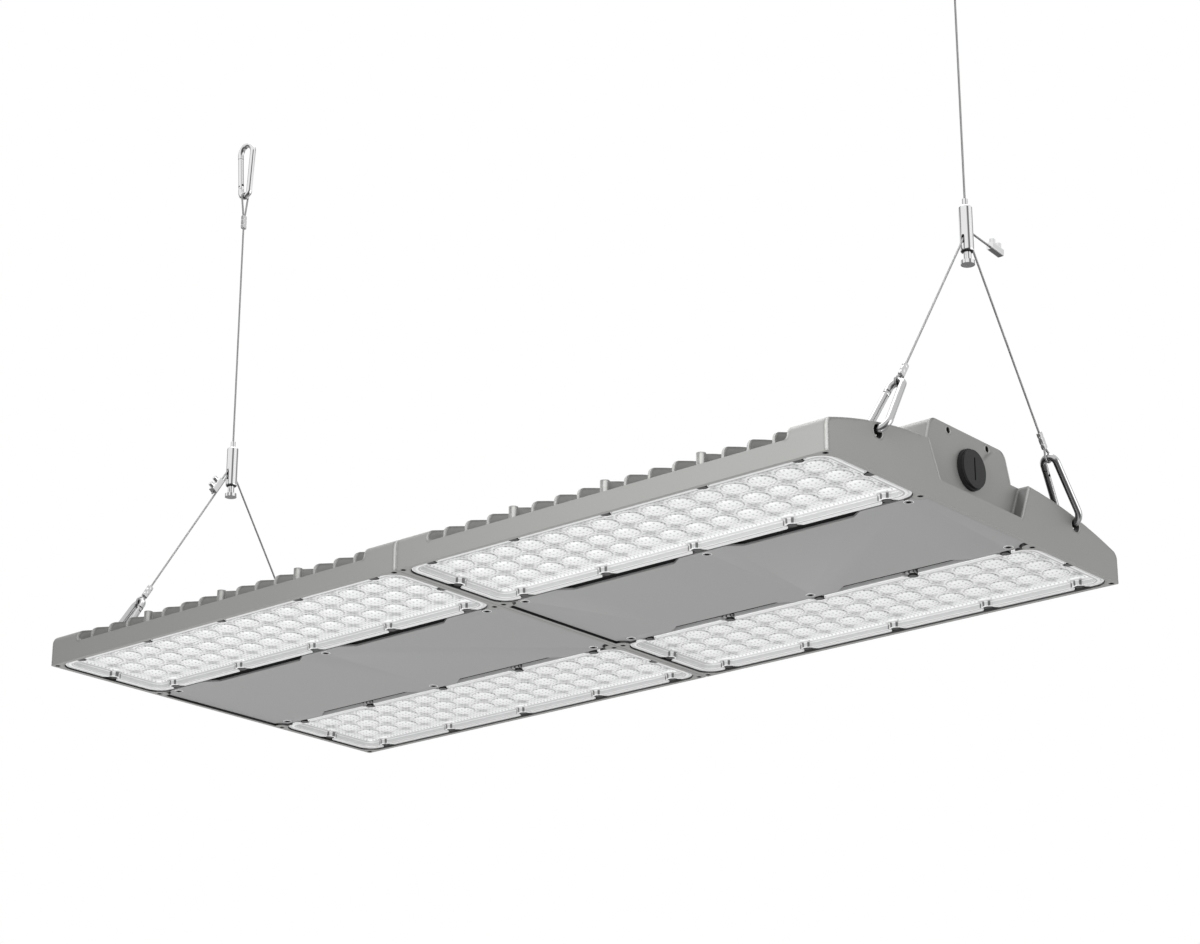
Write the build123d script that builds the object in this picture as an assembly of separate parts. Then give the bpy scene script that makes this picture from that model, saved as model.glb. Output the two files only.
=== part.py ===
from build123d import *
import os
from math import acos, asin, atan, atan2, cos, degrees, hypot, pi, radians, sin

# High bay light: two equal die-cast modules end to end, hung on wires from a gripper at each end.
# Millimetres. +X runs along the light, +Z is up. The origin is the centre of the underside's rim plane.

# Module
MODULE_LENGTH = 343.4
MODULE_GAP = 0.4
HALF_WIDTH = 163.5
END_RIM = 3.3
MIDDLE_END_RIM = 2.9
SIDE_RIM = 3.2
CORNER_FILLET = 1.5
HALF_LENGTH = MODULE_LENGTH / 2
MODULE_X = HALF_LENGTH + MODULE_GAP / 2

# Driver box, its hump and the pocket in front of it
BOX_HALF_FOOT = 51.6
HUMP_TOP = 59.3
BOX_HALF_SHOULDER = BOX_HALF_FOOT - 3.6
BOX_SHOULDER_Z = HUMP_TOP - 18.8
HUMP_HALF_TOP = BOX_HALF_SHOULDER - 6.0
HUMP_ROUND = 8.0
BOX_WALL = 3.0
BOX_CEILING_TAPER = 1.0
END_PLATE = 5.0
POCKET_DEPTH = 8.4
POCKET_HALF_FOOT = BOX_HALF_FOOT - 6.0
POCKET_FOOT_Z = 14.2
POCKET_WALL = 3.0
FLANGE = 4.0
PORT_Z = 35.2
PORT_RADIUS = 10.0
END_HOLE_Y = HUMP_HALF_TOP - 20.0
END_HOLE_Z = HUMP_TOP - 3.7
END_HOLE_RADIUS = 2.0
END_HOLE_DEPTH = 4.0
BOX_END = HALF_LENGTH - POCKET_DEPTH
CAVITY_END = BOX_END - END_PLATE
CAVITY_TOP = HUMP_TOP - BOX_WALL

# Driver cover, and the middle of the underside that it fills
COVER_LAND = 9.4
COVER_PLAY = 1.3
COVER_HALF_LENGTH = HALF_LENGTH - 4.8
COVER_HALF_WIDTH = BOX_HALF_FOOT + COVER_LAND
MIDDLE_HALF = COVER_HALF_WIDTH + COVER_PLAY
MIDDLE_HALF_LENGTH = HALF_LENGTH - MIDDLE_END_RIM
COVER_FOOT = 1.15
COVER_THICK = 1.5
COVER_CORNER = 8.3
NOTCH_FROM_MIDDLE = 18.25
NOTCH_FROM_END = 44.15
NOTCH_SLANT = 10.0
NOTCH_DEPTH = 7.0
COVER_SCREW_END_X = COVER_HALF_LENGTH - 12.3
COVER_SCREW_X = (-COVER_SCREW_END_X, 0.0, COVER_SCREW_END_X)
COVER_SCREW_Y = COVER_HALF_WIDTH - 5.2
COVER_SCREW_RADIUS = 1.5
COVER_SCREW_HEAD = 3.4
COVER_SCREW_LENGTH = 8.0
SCREW_BITE = 1.0
GASKET_WIDTH = 3.0
GASKET_MARGIN = 0.3
GASKET_PLAY = 0.1

# Lens covers: one on each side of the driver cover, in an opening of the casting
PANEL_HALF_LENGTH = HALF_LENGTH - END_RIM
PANEL_HALF_WIDTH = (HALF_WIDTH - SIDE_RIM - MIDDLE_HALF) / 2
PANEL_Y = MIDDLE_HALF + PANEL_HALF_WIDTH
PANEL_ROUND = 13.0
LENS_GAP = 0.4
LENS_FOOT = 0.3
LENS_FLANGE_TOP = 4.0
LENS_BORDER = 6.2
LENS_WALL = 1.6
LENS_BACK = 4.8
BOSS_SETBACK = 0.4
SCREW_PLAY = 0.3
LENS_FIELD_Z = 6.0
LENS_FIELD_TOP = LENS_FIELD_Z + LENS_WALL
LENS_GASKET = 1.0
SEAT_Z = LENS_FLANGE_TOP + LENS_GASKET
RECESS_ROUND = 7.0
COLUMN_RADIUS = 5.2
NOTCH_RADIUS = 3.6
TAB_Z = 2.6
OPTIC_COLUMNS = 15
OPTIC_ROWS = 3
OPTIC_SIDES = 8
FIELD_INSET_X = 15.4
FIELD_INSET_Y = 17.05
OPTIC_PITCH_X = 2 * (PANEL_HALF_LENGTH - FIELD_INSET_X) / OPTIC_COLUMNS
OPTIC_PITCH_Y = 2 * (PANEL_HALF_WIDTH - FIELD_INSET_Y) / OPTIC_ROWS
OPTIC_GAP = 1.6
OPTIC_FLANK = 4.0
OPTIC_RADIUS = min(OPTIC_PITCH_X, OPTIC_PITCH_Y) / 2 - OPTIC_GAP
OPTIC_CROWN_RADIUS = OPTIC_RADIUS - OPTIC_FLANK
OPTIC_DROP = 2.0

# LED boards
BOARD_HALF_LENGTH = PANEL_HALF_LENGTH - 8.4
BOARD_HALF_WIDTH = PANEL_HALF_WIDTH - 8.5
BOARD_THICK = 1.6
LED_SIDE = 3.5
LED_HEIGHT = 0.7
LED_CLEARANCE = 0.4

# Section of the casting, looking along X
FLOOR_UNDER = LENS_FIELD_TOP + LED_CLEARANCE + LED_HEIGHT + BOARD_THICK
FLOOR_THICK = 3.0
FLOOR_TOP = FLOOR_UNDER + FLOOR_THICK
SIDE_TOP = 20.6
SHOULDER = (BOX_HALF_FOOT + 5.4, 39.0)
CROWN_BULGE = (1.75, 3.2)
CROWN_MID = ((HALF_WIDTH + SHOULDER[0]) / 2 + CROWN_BULGE[0], (SIDE_TOP + SHOULDER[1]) / 2 + CROWN_BULGE[1])
SIDE_ROUND = 6.5
SIDE_SLOPE = 0.25

# Fins, and the window in each side wall
FINS_EACH_WAY = 8
FIN_END_SPACE = 21.46
FIN_PITCH = (HALF_LENGTH - FIN_END_SPACE) / FINS_EACH_WAY
FIN_THICK = 1.8
FIN_OUTER = HALF_WIDTH - 3.0
FIN_ROUND = 6.0
WINDOW_HALF = HALF_LENGTH - 28.3
WINDOW_ROUND = 3.0
ROOF_FROM = HALF_WIDTH - 21.5
POST_RADIUS = 3.0
POST_Y = HALF_WIDTH - 6.3
POST_TOP = SIDE_TOP + 2.2
FINS_PER_POST = 4

# Screws round a lens cover; its three middle ones have posts over them
SCREW_ROW_Y = PANEL_HALF_WIDTH - 3.7
SCREW_CORNER_X = PANEL_HALF_LENGTH - 22.4
SCREW_POST_X = FINS_PER_POST * FIN_PITCH
SCREW_ROW_X = (-SCREW_CORNER_X, -SCREW_POST_X, 0.0, SCREW_POST_X, SCREW_CORNER_X)
SCREW_END_X = PANEL_HALF_LENGTH - 3.5
SCREW_RADIUS = 1.3
SCREW_LENGTH = 8.5
SCREW_HEAD_RADIUS = 2.8
SCREW_HEAD = 1.5

# Holes in the end flanges for the hooks and the joining bolts
BOLT_RADIUS = 4.0
BOLT_PLAY = 0.3
HOOK_HOLE_RADIUS = BOLT_RADIUS + BOLT_PLAY
HOOK_HOLE_Z = 26.6
FLANGE_X = MODULE_X + HALF_LENGTH - FLANGE / 2

# Rim corner holes
RIM_HOLE_RADIUS = 1.4
RIM_HOLE_DEPTH = 9.0
RIM_HOLE_END_INSET = 3.9
RIM_HOLE_SIDE_INSET = 3.7
CORNER_PAD = 6.5
RIM_HOLE_X = HALF_LENGTH - RIM_HOLE_END_INSET
RIM_HOLE_OUT = HALF_WIDTH - RIM_HOLE_SIDE_INSET
RIM_HOLE_IN = MIDDLE_HALF + 0.5

# Ports: plugs, gland and conduit share one thread
THREAD_CLEARANCE = 0.1
THREAD_SPARE = 1.5
SEAL_THICK = 1.0
LOCK_NUT = 4.5
LOCK_NUT_FLATS = 2 * PORT_RADIUS + 4.0
PLUG_RIM_RADIUS = PORT_RADIUS + 3.5
PLUG_FACE_RADIUS = PLUG_RIM_RADIUS - 1.0
PLUG_RIM = 1.3
PLUG_HEAD = 3.4
PLUG_THREAD = SEAL_THICK + END_PLATE + LOCK_NUT + THREAD_SPARE
SLOT_LENGTH = 15.0
SLOT_WIDTH = 1.3
SLOT_DEPTH = 1.6
CONDUIT_BORE = PORT_RADIUS - 3.0
CONDUIT_REACH = END_PLATE + LOCK_NUT + 2.5
GLAND_X = HALF_LENGTH - 51.7
GLAND_Y = 18.0
GLAND_HEX = 5.0
GLAND_DOME = 14.0
GLAND_DOME_RADIUS = PORT_RADIUS + 2.0
GLAND_TOP_RADIUS = GLAND_DOME_RADIUS - 3.5
GLAND_TAPER = 5.0
GLAND_LIP = 2.0
GLAND_INSERT_RADIUS = GLAND_DOME_RADIUS - 4.5
GLAND_CABLE_RADIUS = GLAND_INSERT_RADIUS - 3.0
GLAND_MOUTH_RADIUS = GLAND_CABLE_RADIUS + 1.0

# Parts inside the driver box
TERMINAL_LENGTH = 18.0
TERMINAL_WIDTH = 34.0
TERMINAL_HEIGHT = 18.0
TERMINAL_Y = 22.0 - HUMP_HALF_TOP
TERMINAL_WAYS = 3
TERMINAL_BORE = 2.6
DRIVER_LENGTH = 200.0
DRIVER_WIDTH = 62.0
DRIVER_HEIGHT = 34.0
DRIVER_ROUND = 3.0
DRIVER_GAP = 11.0
LUG_LENGTH = 10.0
LUG_WIDTH = 20.0
LUG_THICK = 2.0
DRIVER_X = GLAND_X - TERMINAL_LENGTH / 2 - DRIVER_GAP - LUG_LENGTH - DRIVER_LENGTH / 2
DRIVER_BOSS = 6.0
DRIVER_BOSS_RADIUS = 4.0
DRIVER_SCREW_RADIUS = 1.8
DRIVER_SCREW_HEAD = 3.4
DRIVER_SCREW_LENGTH = 6.0

# Joining bolts between the modules
BOLT_FLATS = 13.0
BOLT_HEAD = 5.3
BOLT_NUT = 6.5
BOLT_SPARE = 2.5
WASHER_RADIUS = 8.0
WASHER_THICK = 1.6
BOLT_SEAT = MODULE_GAP / 2 + FLANGE

# Snap hooks
ROD_RADIUS = 2.4
WIDE_BEND = 7.2
NARROW_BEND = 4.8
HOOK_SPAN = 34.4
NOSE = 3.0
NOSE_GAP = 0.25
STUB = 3.4
PIN_DROP = 5.6
TONGUE_HALF = 1.0
TONGUE_END = ROD_RADIUS - 0.5
FORK_HALF = TONGUE_HALF + 0.15
FORK_SPARE = 0.25
GATE_RADIUS = ROD_RADIUS - 0.1
GATE_HUB = ROD_RADIUS - 0.35
PIN_RADIUS = 0.75
PIN_HALF = ROD_RADIUS - 0.3
PIN_RUNNING = 0.07
HOOK_SEAT = HOOK_HOLE_RADIUS - ROD_RADIUS - 0.55

# Wires and ferrules
WIRE_RADIUS = 0.75
WIRE_SPACING = 2 * WIRE_RADIUS + 0.2
EYE_CLEARANCE = 0.1
FERRULE_LENGTH = 11.3
FERRULE_WALL = 0.9
LAMP_EYE = 5.9
CEILING_EYE = 17.2
TOP_HOOK_Z = 478.7

# Grippers, placed from the point where the leg wires' lines meet
BRIDLE_Z = 195.9
WIRE_START = 3.0
WIRE_BORE = WIRE_RADIUS + 0.35
GRIPPER_RADIUS = 4.5
GRIPPER_FOOT = BRIDLE_Z - 14.3
GRIPPER_TOP = BRIDLE_Z + 18.1
GRIPPER_ROUND = 1.6
PLUNGER_RADIUS = 1.9
PLUNGER_BORE = PLUNGER_RADIUS + 0.1
PLUNGER_HOLE = WIRE_RADIUS + 0.15
PLUNGER_FOOT = BRIDLE_Z + 7.1
PLUNGER_TOP = PLUNGER_FOOT + 16.0
PLUNGER_TRAVEL = 2.5
STEM_RADIUS = 2.55
STEM_TOP = BRIDLE_Z - 8.9
DISC_RADIUS = 4.6
DISC_FOOT = BRIDLE_Z - 22.9
DISC_THICK = 2.6
LEG_SLOT_TOP = BRIDLE_Z - 2.9
LEG_SLOT_HEIGHT = 6.0
LEG_SLOT_FROM = 3.6

# Wire tails and their clamps
TAIL_Z = BRIDLE_Z + 1.7
TAIL_OFFSET = 2.4
TAIL_TURN = {"right": 84.7, "left": 33.3}
RIGHT_TAIL = 39.0
LEFT_TAIL = 30.0
TAIL_LENGTH = {"right": RIGHT_TAIL, "left": LEFT_TAIL}
RIGHT_CLAMP = RIGHT_TAIL - 8.0
LEFT_CLAMP = LEFT_TAIL - 9.0
CLAMP_AT = {"right": RIGHT_CLAMP, "left": LEFT_CLAMP}
CLAMP_LENGTH = 13.0
CLAMP_WIDTH = 5.0
CLAMP_HEIGHT = 5.0
CLAMP_ROUND = CLAMP_WIDTH / 6
CLAMP_BELOW = WIRE_RADIUS + 0.85
CLAMP_SCREW_SPACING = 7.0
CLAMP_SCREW_RADIUS = 1.2
CLAMP_SCREW_HEAD = 1.9
CLAMP_SCREW_RISE = 3.2

# Cutting solids run past what they cut by these
OVERCUT = 1.0
FAR = 200.0
UPRIGHT = (Align.CENTER, Align.CENTER, Align.MIN)
HANGING = (Align.CENTER, Align.CENTER, Align.MAX)

MODULES = {
    "right": Location((MODULE_X, 0, 0)),
    "left": Location((-MODULE_X, 0, 0), (0, 0, 180)),
}
ENDS = {"right": Location((0, 0, 0)), "left": Location((0, 0, 0), (0, 0, 180))}
SIDES = {"front": -1, "back": 1}


def polygon(plane, *points):
    """A flat face with straight edges through the given points of a plane."""
    return make_face(Polyline(*[plane.from_local_coords(p) for p in points], close=True))


def along_x(face, x0, x1):
    """A face of the YZ plane carried along X from x0 to x1."""
    return Pos(x0, 0, 0) * extrude(face, x1 - x0, dir=(1, 0, 0))


def crown_face(half_width, corner_round):
    """The casting's section: upright sides, rounded corners, arched slopes and a flat middle."""
    side_top = SIDE_TOP + (HALF_WIDTH - half_width) * SIDE_SLOPE
    with BuildSketch(Plane.YZ) as sketch:
        with BuildLine():
            Polyline((-half_width, side_top), (-half_width, 0), (half_width, 0), (half_width, side_top))
            ThreePointArc((half_width, side_top), CROWN_MID, SHOULDER)
            Line(SHOULDER, (-SHOULDER[0], SHOULDER[1]))
            left_mid = (-CROWN_MID[0], CROWN_MID[1])
            ThreePointArc((-SHOULDER[0], SHOULDER[1]), left_mid, (-half_width, side_top))
        make_face()
        corners = sketch.vertices().filter_by(lambda v: abs(abs(v.X) - half_width) < 0.01 and v.Y > 1)
        fillet(corners, corner_round)
    return sketch.sketch


def box_half(z):
    """Half width of the driver box at height z, below its shoulder."""
    slope = (BOX_HALF_FOOT - BOX_HALF_SHOULDER) / (BOX_SHOULDER_Z - FLOOR_TOP)
    return BOX_HALF_FOOT - slope * (z - FLOOR_TOP)


def pocket_half(z):
    """Half width of the pocket in the end flange at height z."""
    slope = (SHOULDER[0] - POCKET_HALF_FOOT) / (SHOULDER[1] - POCKET_FOOT_Z)
    return POCKET_HALF_FOOT + slope * (z - POCKET_FOOT_Z)


def fin_gaps():
    """The air between the fins, cut from above on both sides of the driver box."""
    high = SHOULDER[1] + OVERCUT
    foot, top = (box_half(FLOOR_TOP), FLOOR_TOP), (box_half(high), high)
    field = [foot, (FIN_OUTER, FLOOR_TOP), (FIN_OUTER, high), top]
    short = [foot, (ROOF_FROM, FLOOR_TOP), (ROOF_FROM, high), top]
    pocket = [
        (pocket_half(FLOOR_TOP) + POCKET_WALL, FLOOR_TOP), (ROOF_FROM, FLOOR_TOP),
        (ROOF_FROM, high), (pocket_half(high) + POCKET_WALL, high),
    ]
    fins = [k * FIN_PITCH for k in range(-FINS_EACH_WAY, FINS_EACH_WAY + 1)]
    spans = []
    for a, b in zip(fins, fins[1:]):
        x0, x1 = a + FIN_THICK / 2, b - FIN_THICK / 2
        inside = (max(x0, -WINDOW_HALF), min(x1, WINDOW_HALF))
        if inside[0] < inside[1]:
            spans.append((field, *inside))
        if x0 < -WINDOW_HALF:
            spans.append((short, x0, min(x1, -WINDOW_HALF)))
        if x1 > WINDOW_HALF:
            spans.append((short, max(x0, WINDOW_HALF), x1))
    last = fins[-1] + FIN_THICK / 2
    flange_inner = HALF_LENGTH - FLANGE
    for sign in (1, -1):
        spans.append((short, *sorted((sign * last, sign * CAVITY_END))))
        spans.append((pocket, *sorted((sign * CAVITY_END, sign * flange_inner))))
    cuts = []
    for section, x0, x1 in spans:
        for side in (1, -1):
            face = polygon(Plane.YZ, *[(side * y, z) for y, z in section])
            cuts.append(along_x(face, x0, x1))
    return cuts


def side_windows():
    """The long openings in the upper edge of both side walls; each fin keeps a rounded outer corner."""
    outside = Plane.YZ * Pos(0, FLOOR_TOP + FAR / 2) * Rectangle(2 * FAR, FAR)
    outside -= crown_face(FIN_OUTER, FIN_ROUND)
    prism = along_x(outside, -WINDOW_HALF, WINDOW_HALF)
    tall = FAR / 2
    reach = Plane.XZ * Pos(0, FLOOR_TOP + tall / 2) * RectangleRounded(2 * WINDOW_HALF, tall, WINDOW_ROUND)
    return prism & extrude(reach, 2 * FAR, both=True)


def panel_face(inset, corner_round):
    """A rounded rectangle, this far inside a lens opening."""
    return RectangleRounded(2 * (PANEL_HALF_LENGTH - inset), 2 * (PANEL_HALF_WIDTH - inset), corner_round)


def lens_screw_spots():
    """Places of the screws round one lens cover, seen from the panel's centre."""
    rows = [(x, side * SCREW_ROW_Y) for x in SCREW_ROW_X for side in (-1, 1)]
    return rows + [(-SCREW_END_X, 0), (SCREW_END_X, 0)]


def recess_face(inset, corner_round, column):
    """The lens cover's recess with a half-round column left standing at each screw."""
    return panel_face(inset, corner_round) - [Pos(x, y) * Circle(column) for x, y in lens_screw_spots()]


def middle_corners():
    """Places of the rim holes at the corners of the underside's middle."""
    return [Pos(end * RIM_HOLE_X, side * RIM_HOLE_IN) for end in (-1, 1) for side in (-1, 1)]


def driver_screw_spots():
    """Places of the LED driver's two screws, seen from the module's centre."""
    reach = (DRIVER_LENGTH + LUG_LENGTH) / 2
    return [DRIVER_X - reach, DRIVER_X + reach]


def housing(with_gland):
    """One die casting, with the module's centre at the origin."""
    body = along_x(crown_face(HALF_WIDTH, SIDE_ROUND), -HALF_LENGTH, HALF_LENGTH)
    ends = body.faces().filter_by(Axis.X).edges().filter_by(lambda e: e.center().Z > 0.1)
    body = fillet(ends, CORNER_FILLET)
    body -= fin_gaps()
    body -= side_windows()
    hump = polygon(
        Plane.YZ, (-BOX_HALF_FOOT, FLOOR_TOP), (BOX_HALF_FOOT, FLOOR_TOP),
        (BOX_HALF_SHOULDER, BOX_SHOULDER_Z), (HUMP_HALF_TOP, HUMP_TOP),
        (-HUMP_HALF_TOP, HUMP_TOP), (-BOX_HALF_SHOULDER, BOX_SHOULDER_Z),
    )
    hump = fillet(hump.vertices().filter_by_position(Axis.Z, HUMP_TOP - 0.1, HUMP_TOP + 0.1), HUMP_ROUND)
    body += along_x(hump, -BOX_END, BOX_END)
    posts = [
        Pos(x, side * POST_Y, FLOOR_UNDER) * Cylinder(POST_RADIUS, POST_TOP - FLOOR_UNDER, align=UPRIGHT)
        for x in SCREW_ROW_X[1:4] for side in (-1, 1)
    ]
    body += posts
    high = HUMP_TOP + OVERCUT
    pocket = polygon(
        Plane.YZ, (-POCKET_HALF_FOOT, POCKET_FOOT_Z), (POCKET_HALF_FOOT, POCKET_FOOT_Z),
        (pocket_half(high), high), (-pocket_half(high), high),
    )
    depth = POCKET_DEPTH + OVERCUT
    cuts = [along_x(pocket, x0, x0 + depth) for x0 in (BOX_END, -BOX_END - depth)]
    ceiling = HUMP_HALF_TOP - BOX_WALL - BOX_CEILING_TAPER
    cavity = polygon(
        Plane.YZ, (-box_half(0) + BOX_WALL, 0), (box_half(0) - BOX_WALL, 0),
        (BOX_HALF_SHOULDER - BOX_WALL, BOX_SHOULDER_Z), (ceiling, CAVITY_TOP),
        (-ceiling, CAVITY_TOP), (-BOX_HALF_SHOULDER + BOX_WALL, BOX_SHOULDER_Z),
    )
    cuts.append(along_x(cavity, -CAVITY_END, CAVITY_END))
    middle = Rectangle(2 * MIDDLE_HALF_LENGTH, 2 * MIDDLE_HALF)
    middle -= [spot * Circle(CORNER_PAD) for spot in middle_corners()]
    cuts.append(extrude(middle, SEAT_Z))
    for side in (-1, 1):
        cuts.append(Pos(0, side * PANEL_Y, 0) * extrude(panel_face(0, PANEL_ROUND), SEAT_Z))
        bay = recess_face(LENS_BORDER - LENS_WALL, RECESS_ROUND + LENS_WALL, NOTCH_RADIUS - BOSS_SETBACK)
        cuts.append(Pos(0, side * PANEL_Y, SEAT_Z) * extrude(bay, FLOOR_UNDER - SEAT_Z))
        hole = Cylinder(SCREW_RADIUS, SCREW_LENGTH - SCREW_BITE, align=UPRIGHT)
        cuts += [Pos(x, y + side * PANEL_Y, SEAT_Z) * hole for x, y in lens_screw_spots()]
        hole = Cylinder(COVER_SCREW_RADIUS, COVER_SCREW_LENGTH - SCREW_BITE, align=UPRIGHT)
        cuts += [Pos(x, side * COVER_SCREW_Y, SEAT_Z) * hole for x in COVER_SCREW_X]
        for end in (-1, 1):
            rim_hole = Cylinder(RIM_HOLE_RADIUS, RIM_HOLE_DEPTH, align=UPRIGHT)
            cuts += [Pos(end * RIM_HOLE_X, side * y, 0) * rim_hole for y in (RIM_HOLE_IN, RIM_HOLE_OUT)]
            across = Rot(0, 90, 0) * Cylinder(HOOK_HOLE_RADIUS, 3 * FLANGE)
            cuts.append(Pos(end * (HALF_LENGTH - FLANGE / 2), side * PANEL_Y, HOOK_HOLE_Z) * across)
            blind = Rot(0, 90, 0) * Cylinder(END_HOLE_RADIUS, 2 * END_HOLE_DEPTH)
            cuts.append(Pos(end * BOX_END, side * END_HOLE_Y, END_HOLE_Z) * blind)
    for end in (-1, 1):
        port = Rot(0, 90, 0) * Cylinder(PORT_RADIUS + THREAD_CLEARANCE, 3 * END_PLATE)
        cuts.append(Pos(end * (BOX_END - END_PLATE / 2), 0, PORT_Z) * port)
    if with_gland:
        top_hole = Cylinder(PORT_RADIUS + THREAD_CLEARANCE, 3 * BOX_WALL)
        cuts.append(Pos(GLAND_X, GLAND_Y, HUMP_TOP - BOX_WALL / 2) * top_hole)
    body -= cuts
    bosses = []
    for x in driver_screw_spots():
        boss = Cylinder(DRIVER_BOSS_RADIUS, DRIVER_BOSS, align=UPRIGHT)
        boss -= Cylinder(DRIVER_SCREW_RADIUS, DRIVER_BOSS - SCREW_BITE, align=UPRIGHT)
        bosses.append(Pos(x, 0, CAVITY_TOP - DRIVER_BOSS) * boss)
    return body + bosses


def optic_spots():
    """Centres of the optics, seen from the panel's centre."""
    return GridLocations(OPTIC_PITCH_X, OPTIC_PITCH_Y, OPTIC_COLUMNS, OPTIC_ROWS).locations


def optic():
    """One optic: a low frustum under the lens field, wide at the field and narrow at its crown."""
    foot = Plane.XY.offset(LENS_FIELD_Z) * RegularPolygon(OPTIC_RADIUS, OPTIC_SIDES)
    slope = (OPTIC_RADIUS - OPTIC_CROWN_RADIUS) * cos(pi / OPTIC_SIDES) / OPTIC_DROP
    return extrude(foot, -OPTIC_DROP, taper=degrees(atan(slope)))


def lens_notches():
    """The U-shaped notches at a lens cover's screws, open to its edge."""
    mouth = Rectangle(2 * NOTCH_RADIUS, 2 * NOTCH_RADIUS)
    notches = []
    for side in (-1, 1):
        along_edge = Circle(NOTCH_RADIUS) + Pos(0, side * NOTCH_RADIUS) * mouth
        notches += [Pos(x, side * SCREW_ROW_Y) * along_edge for x in SCREW_ROW_X]
        end_notch = Circle(NOTCH_RADIUS) + Pos(side * NOTCH_RADIUS, 0) * mouth
        notches.append(Pos(side * SCREW_END_X, 0) * end_notch)
    return notches


def lens_cover():
    """One clear moulding round its panel's centre: flange, recessed field, screw columns and the optics."""
    flange = panel_face(LENS_GAP, PANEL_ROUND - LENS_GAP)
    cover = Pos(0, 0, LENS_FOOT) * extrude(flange, LENS_FLANGE_TOP - LENS_FOOT)
    back = recess_face(LENS_BACK, RECESS_ROUND + LENS_WALL, NOTCH_RADIUS)
    cover += Pos(0, 0, LENS_FLANGE_TOP) * extrude(back, LENS_FIELD_TOP - LENS_FLANGE_TOP)
    cover -= extrude(recess_face(LENS_BACK + LENS_WALL, RECESS_ROUND, COLUMN_RADIUS), LENS_FIELD_Z)
    cuts = [extrude(notch, TAB_Z) for notch in lens_notches()]
    through = Cylinder(SCREW_RADIUS + SCREW_PLAY, 2 * LENS_FLANGE_TOP)
    cover -= cuts + [Pos(x, y) * through for x, y in lens_screw_spots()]
    frustum = optic()
    return cover + [spot * frustum for spot in optic_spots()]


def lens_gasket():
    """Flat gasket between a lens cover's flange and its seat in the casting."""
    face = panel_face(LENS_GAP, PANEL_ROUND - LENS_GAP)
    face -= recess_face(LENS_BORDER - LENS_WALL, RECESS_ROUND + LENS_WALL, NOTCH_RADIUS - BOSS_SETBACK)
    face -= [Pos(x, y) * Circle(SCREW_RADIUS + SCREW_PLAY) for x, y in lens_screw_spots()]
    return Pos(0, 0, LENS_FLANGE_TOP) * extrude(face, SEAT_Z - LENS_FLANGE_TOP)


def led_board():
    """Circuit board under the casting's floor, with one LED package over each optic."""
    board = Box(2 * BOARD_HALF_LENGTH, 2 * BOARD_HALF_WIDTH, BOARD_THICK, align=HANGING)
    board = Pos(0, 0, FLOOR_UNDER) * board
    package = Box(LED_SIDE, LED_SIDE, LED_HEIGHT, align=HANGING)
    face_z = FLOOR_UNDER - BOARD_THICK
    return board + [Pos(0, 0, face_z) * spot * package for spot in optic_spots()]


def lens_screw():
    """Pan head screw of a lens cover, its head's seat on the tab."""
    head = Pos(0, 0, TAB_Z - SCREW_HEAD) * Cylinder(SCREW_HEAD_RADIUS, SCREW_HEAD, align=UPRIGHT)
    return head + Pos(0, 0, TAB_Z) * Cylinder(SCREW_RADIUS, SCREW_LENGTH, align=UPRIGHT)


def panel_centres():
    """The centres of a module's two lens panels."""
    return [Pos(0, side * PANEL_Y, 0) for side in SIDES.values()]


def driver_cover():
    """Sheet plate of a driver box: cut round the rim holes, notched on both long edges, countersunk."""
    face = Rectangle(2 * COVER_HALF_LENGTH, 2 * COVER_HALF_WIDTH)
    face -= [spot * Circle(COVER_CORNER) for spot in middle_corners()]
    near, far = NOTCH_FROM_MIDDLE, COVER_HALF_LENGTH - NOTCH_FROM_END
    edge, bottom = COVER_HALF_WIDTH, COVER_HALF_WIDTH - NOTCH_DEPTH
    notch = [(near, edge), (far, edge), (far - NOTCH_SLANT, bottom), (near + NOTCH_SLANT, bottom)]
    for end in (-1, 1):
        for side in (-1, 1):
            face -= polygon(Plane.XY, *[(end * x, side * y) for x, y in notch])
    plate = Pos(0, 0, COVER_FOOT) * extrude(face, COVER_THICK)
    sink = Cone(COVER_SCREW_HEAD, COVER_SCREW_RADIUS, COVER_THICK, align=UPRIGHT)
    return plate - [Pos(x, y, COVER_FOOT) * sink for x, y in cover_screw_spots()]


def cover_screw_spots():
    """Places of a driver cover's screws, seen from the module's centre."""
    return [(x, side * COVER_SCREW_Y) for x in COVER_SCREW_X for side in SIDES.values()]


def cover_screw():
    """Countersunk screw, flush with the driver cover's face."""
    head = Cone(COVER_SCREW_HEAD, COVER_SCREW_RADIUS, COVER_THICK, align=UPRIGHT)
    shank = Pos(0, 0, COVER_THICK) * Cylinder(COVER_SCREW_RADIUS, COVER_SCREW_LENGTH, align=UPRIGHT)
    return Pos(0, 0, COVER_FOOT) * (head + shank)


def cover_gasket():
    """Gasket under a driver cover: a narrow strip along each side, and a wide one that fills each end."""
    half_mouth = box_half(0) - BOX_WALL
    inner = Rectangle(2 * (CAVITY_END + GASKET_MARGIN), 2 * (half_mouth + GASKET_MARGIN))
    strips = Rectangle(2 * CAVITY_END, 2 * (half_mouth + GASKET_MARGIN + GASKET_WIDTH))
    ends = Rectangle(2 * (MIDDLE_HALF_LENGTH - GASKET_PLAY), 2 * (MIDDLE_HALF - GASKET_PLAY))
    ends -= Rectangle(2 * CAVITY_END, 2 * MIDDLE_HALF)
    ends -= [spot * Circle(CORNER_PAD + GASKET_PLAY) for spot in middle_corners()]
    foot = COVER_FOOT + COVER_THICK
    return Pos(0, 0, foot) * extrude(strips + ends - inner, SEAT_Z - foot)


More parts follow.
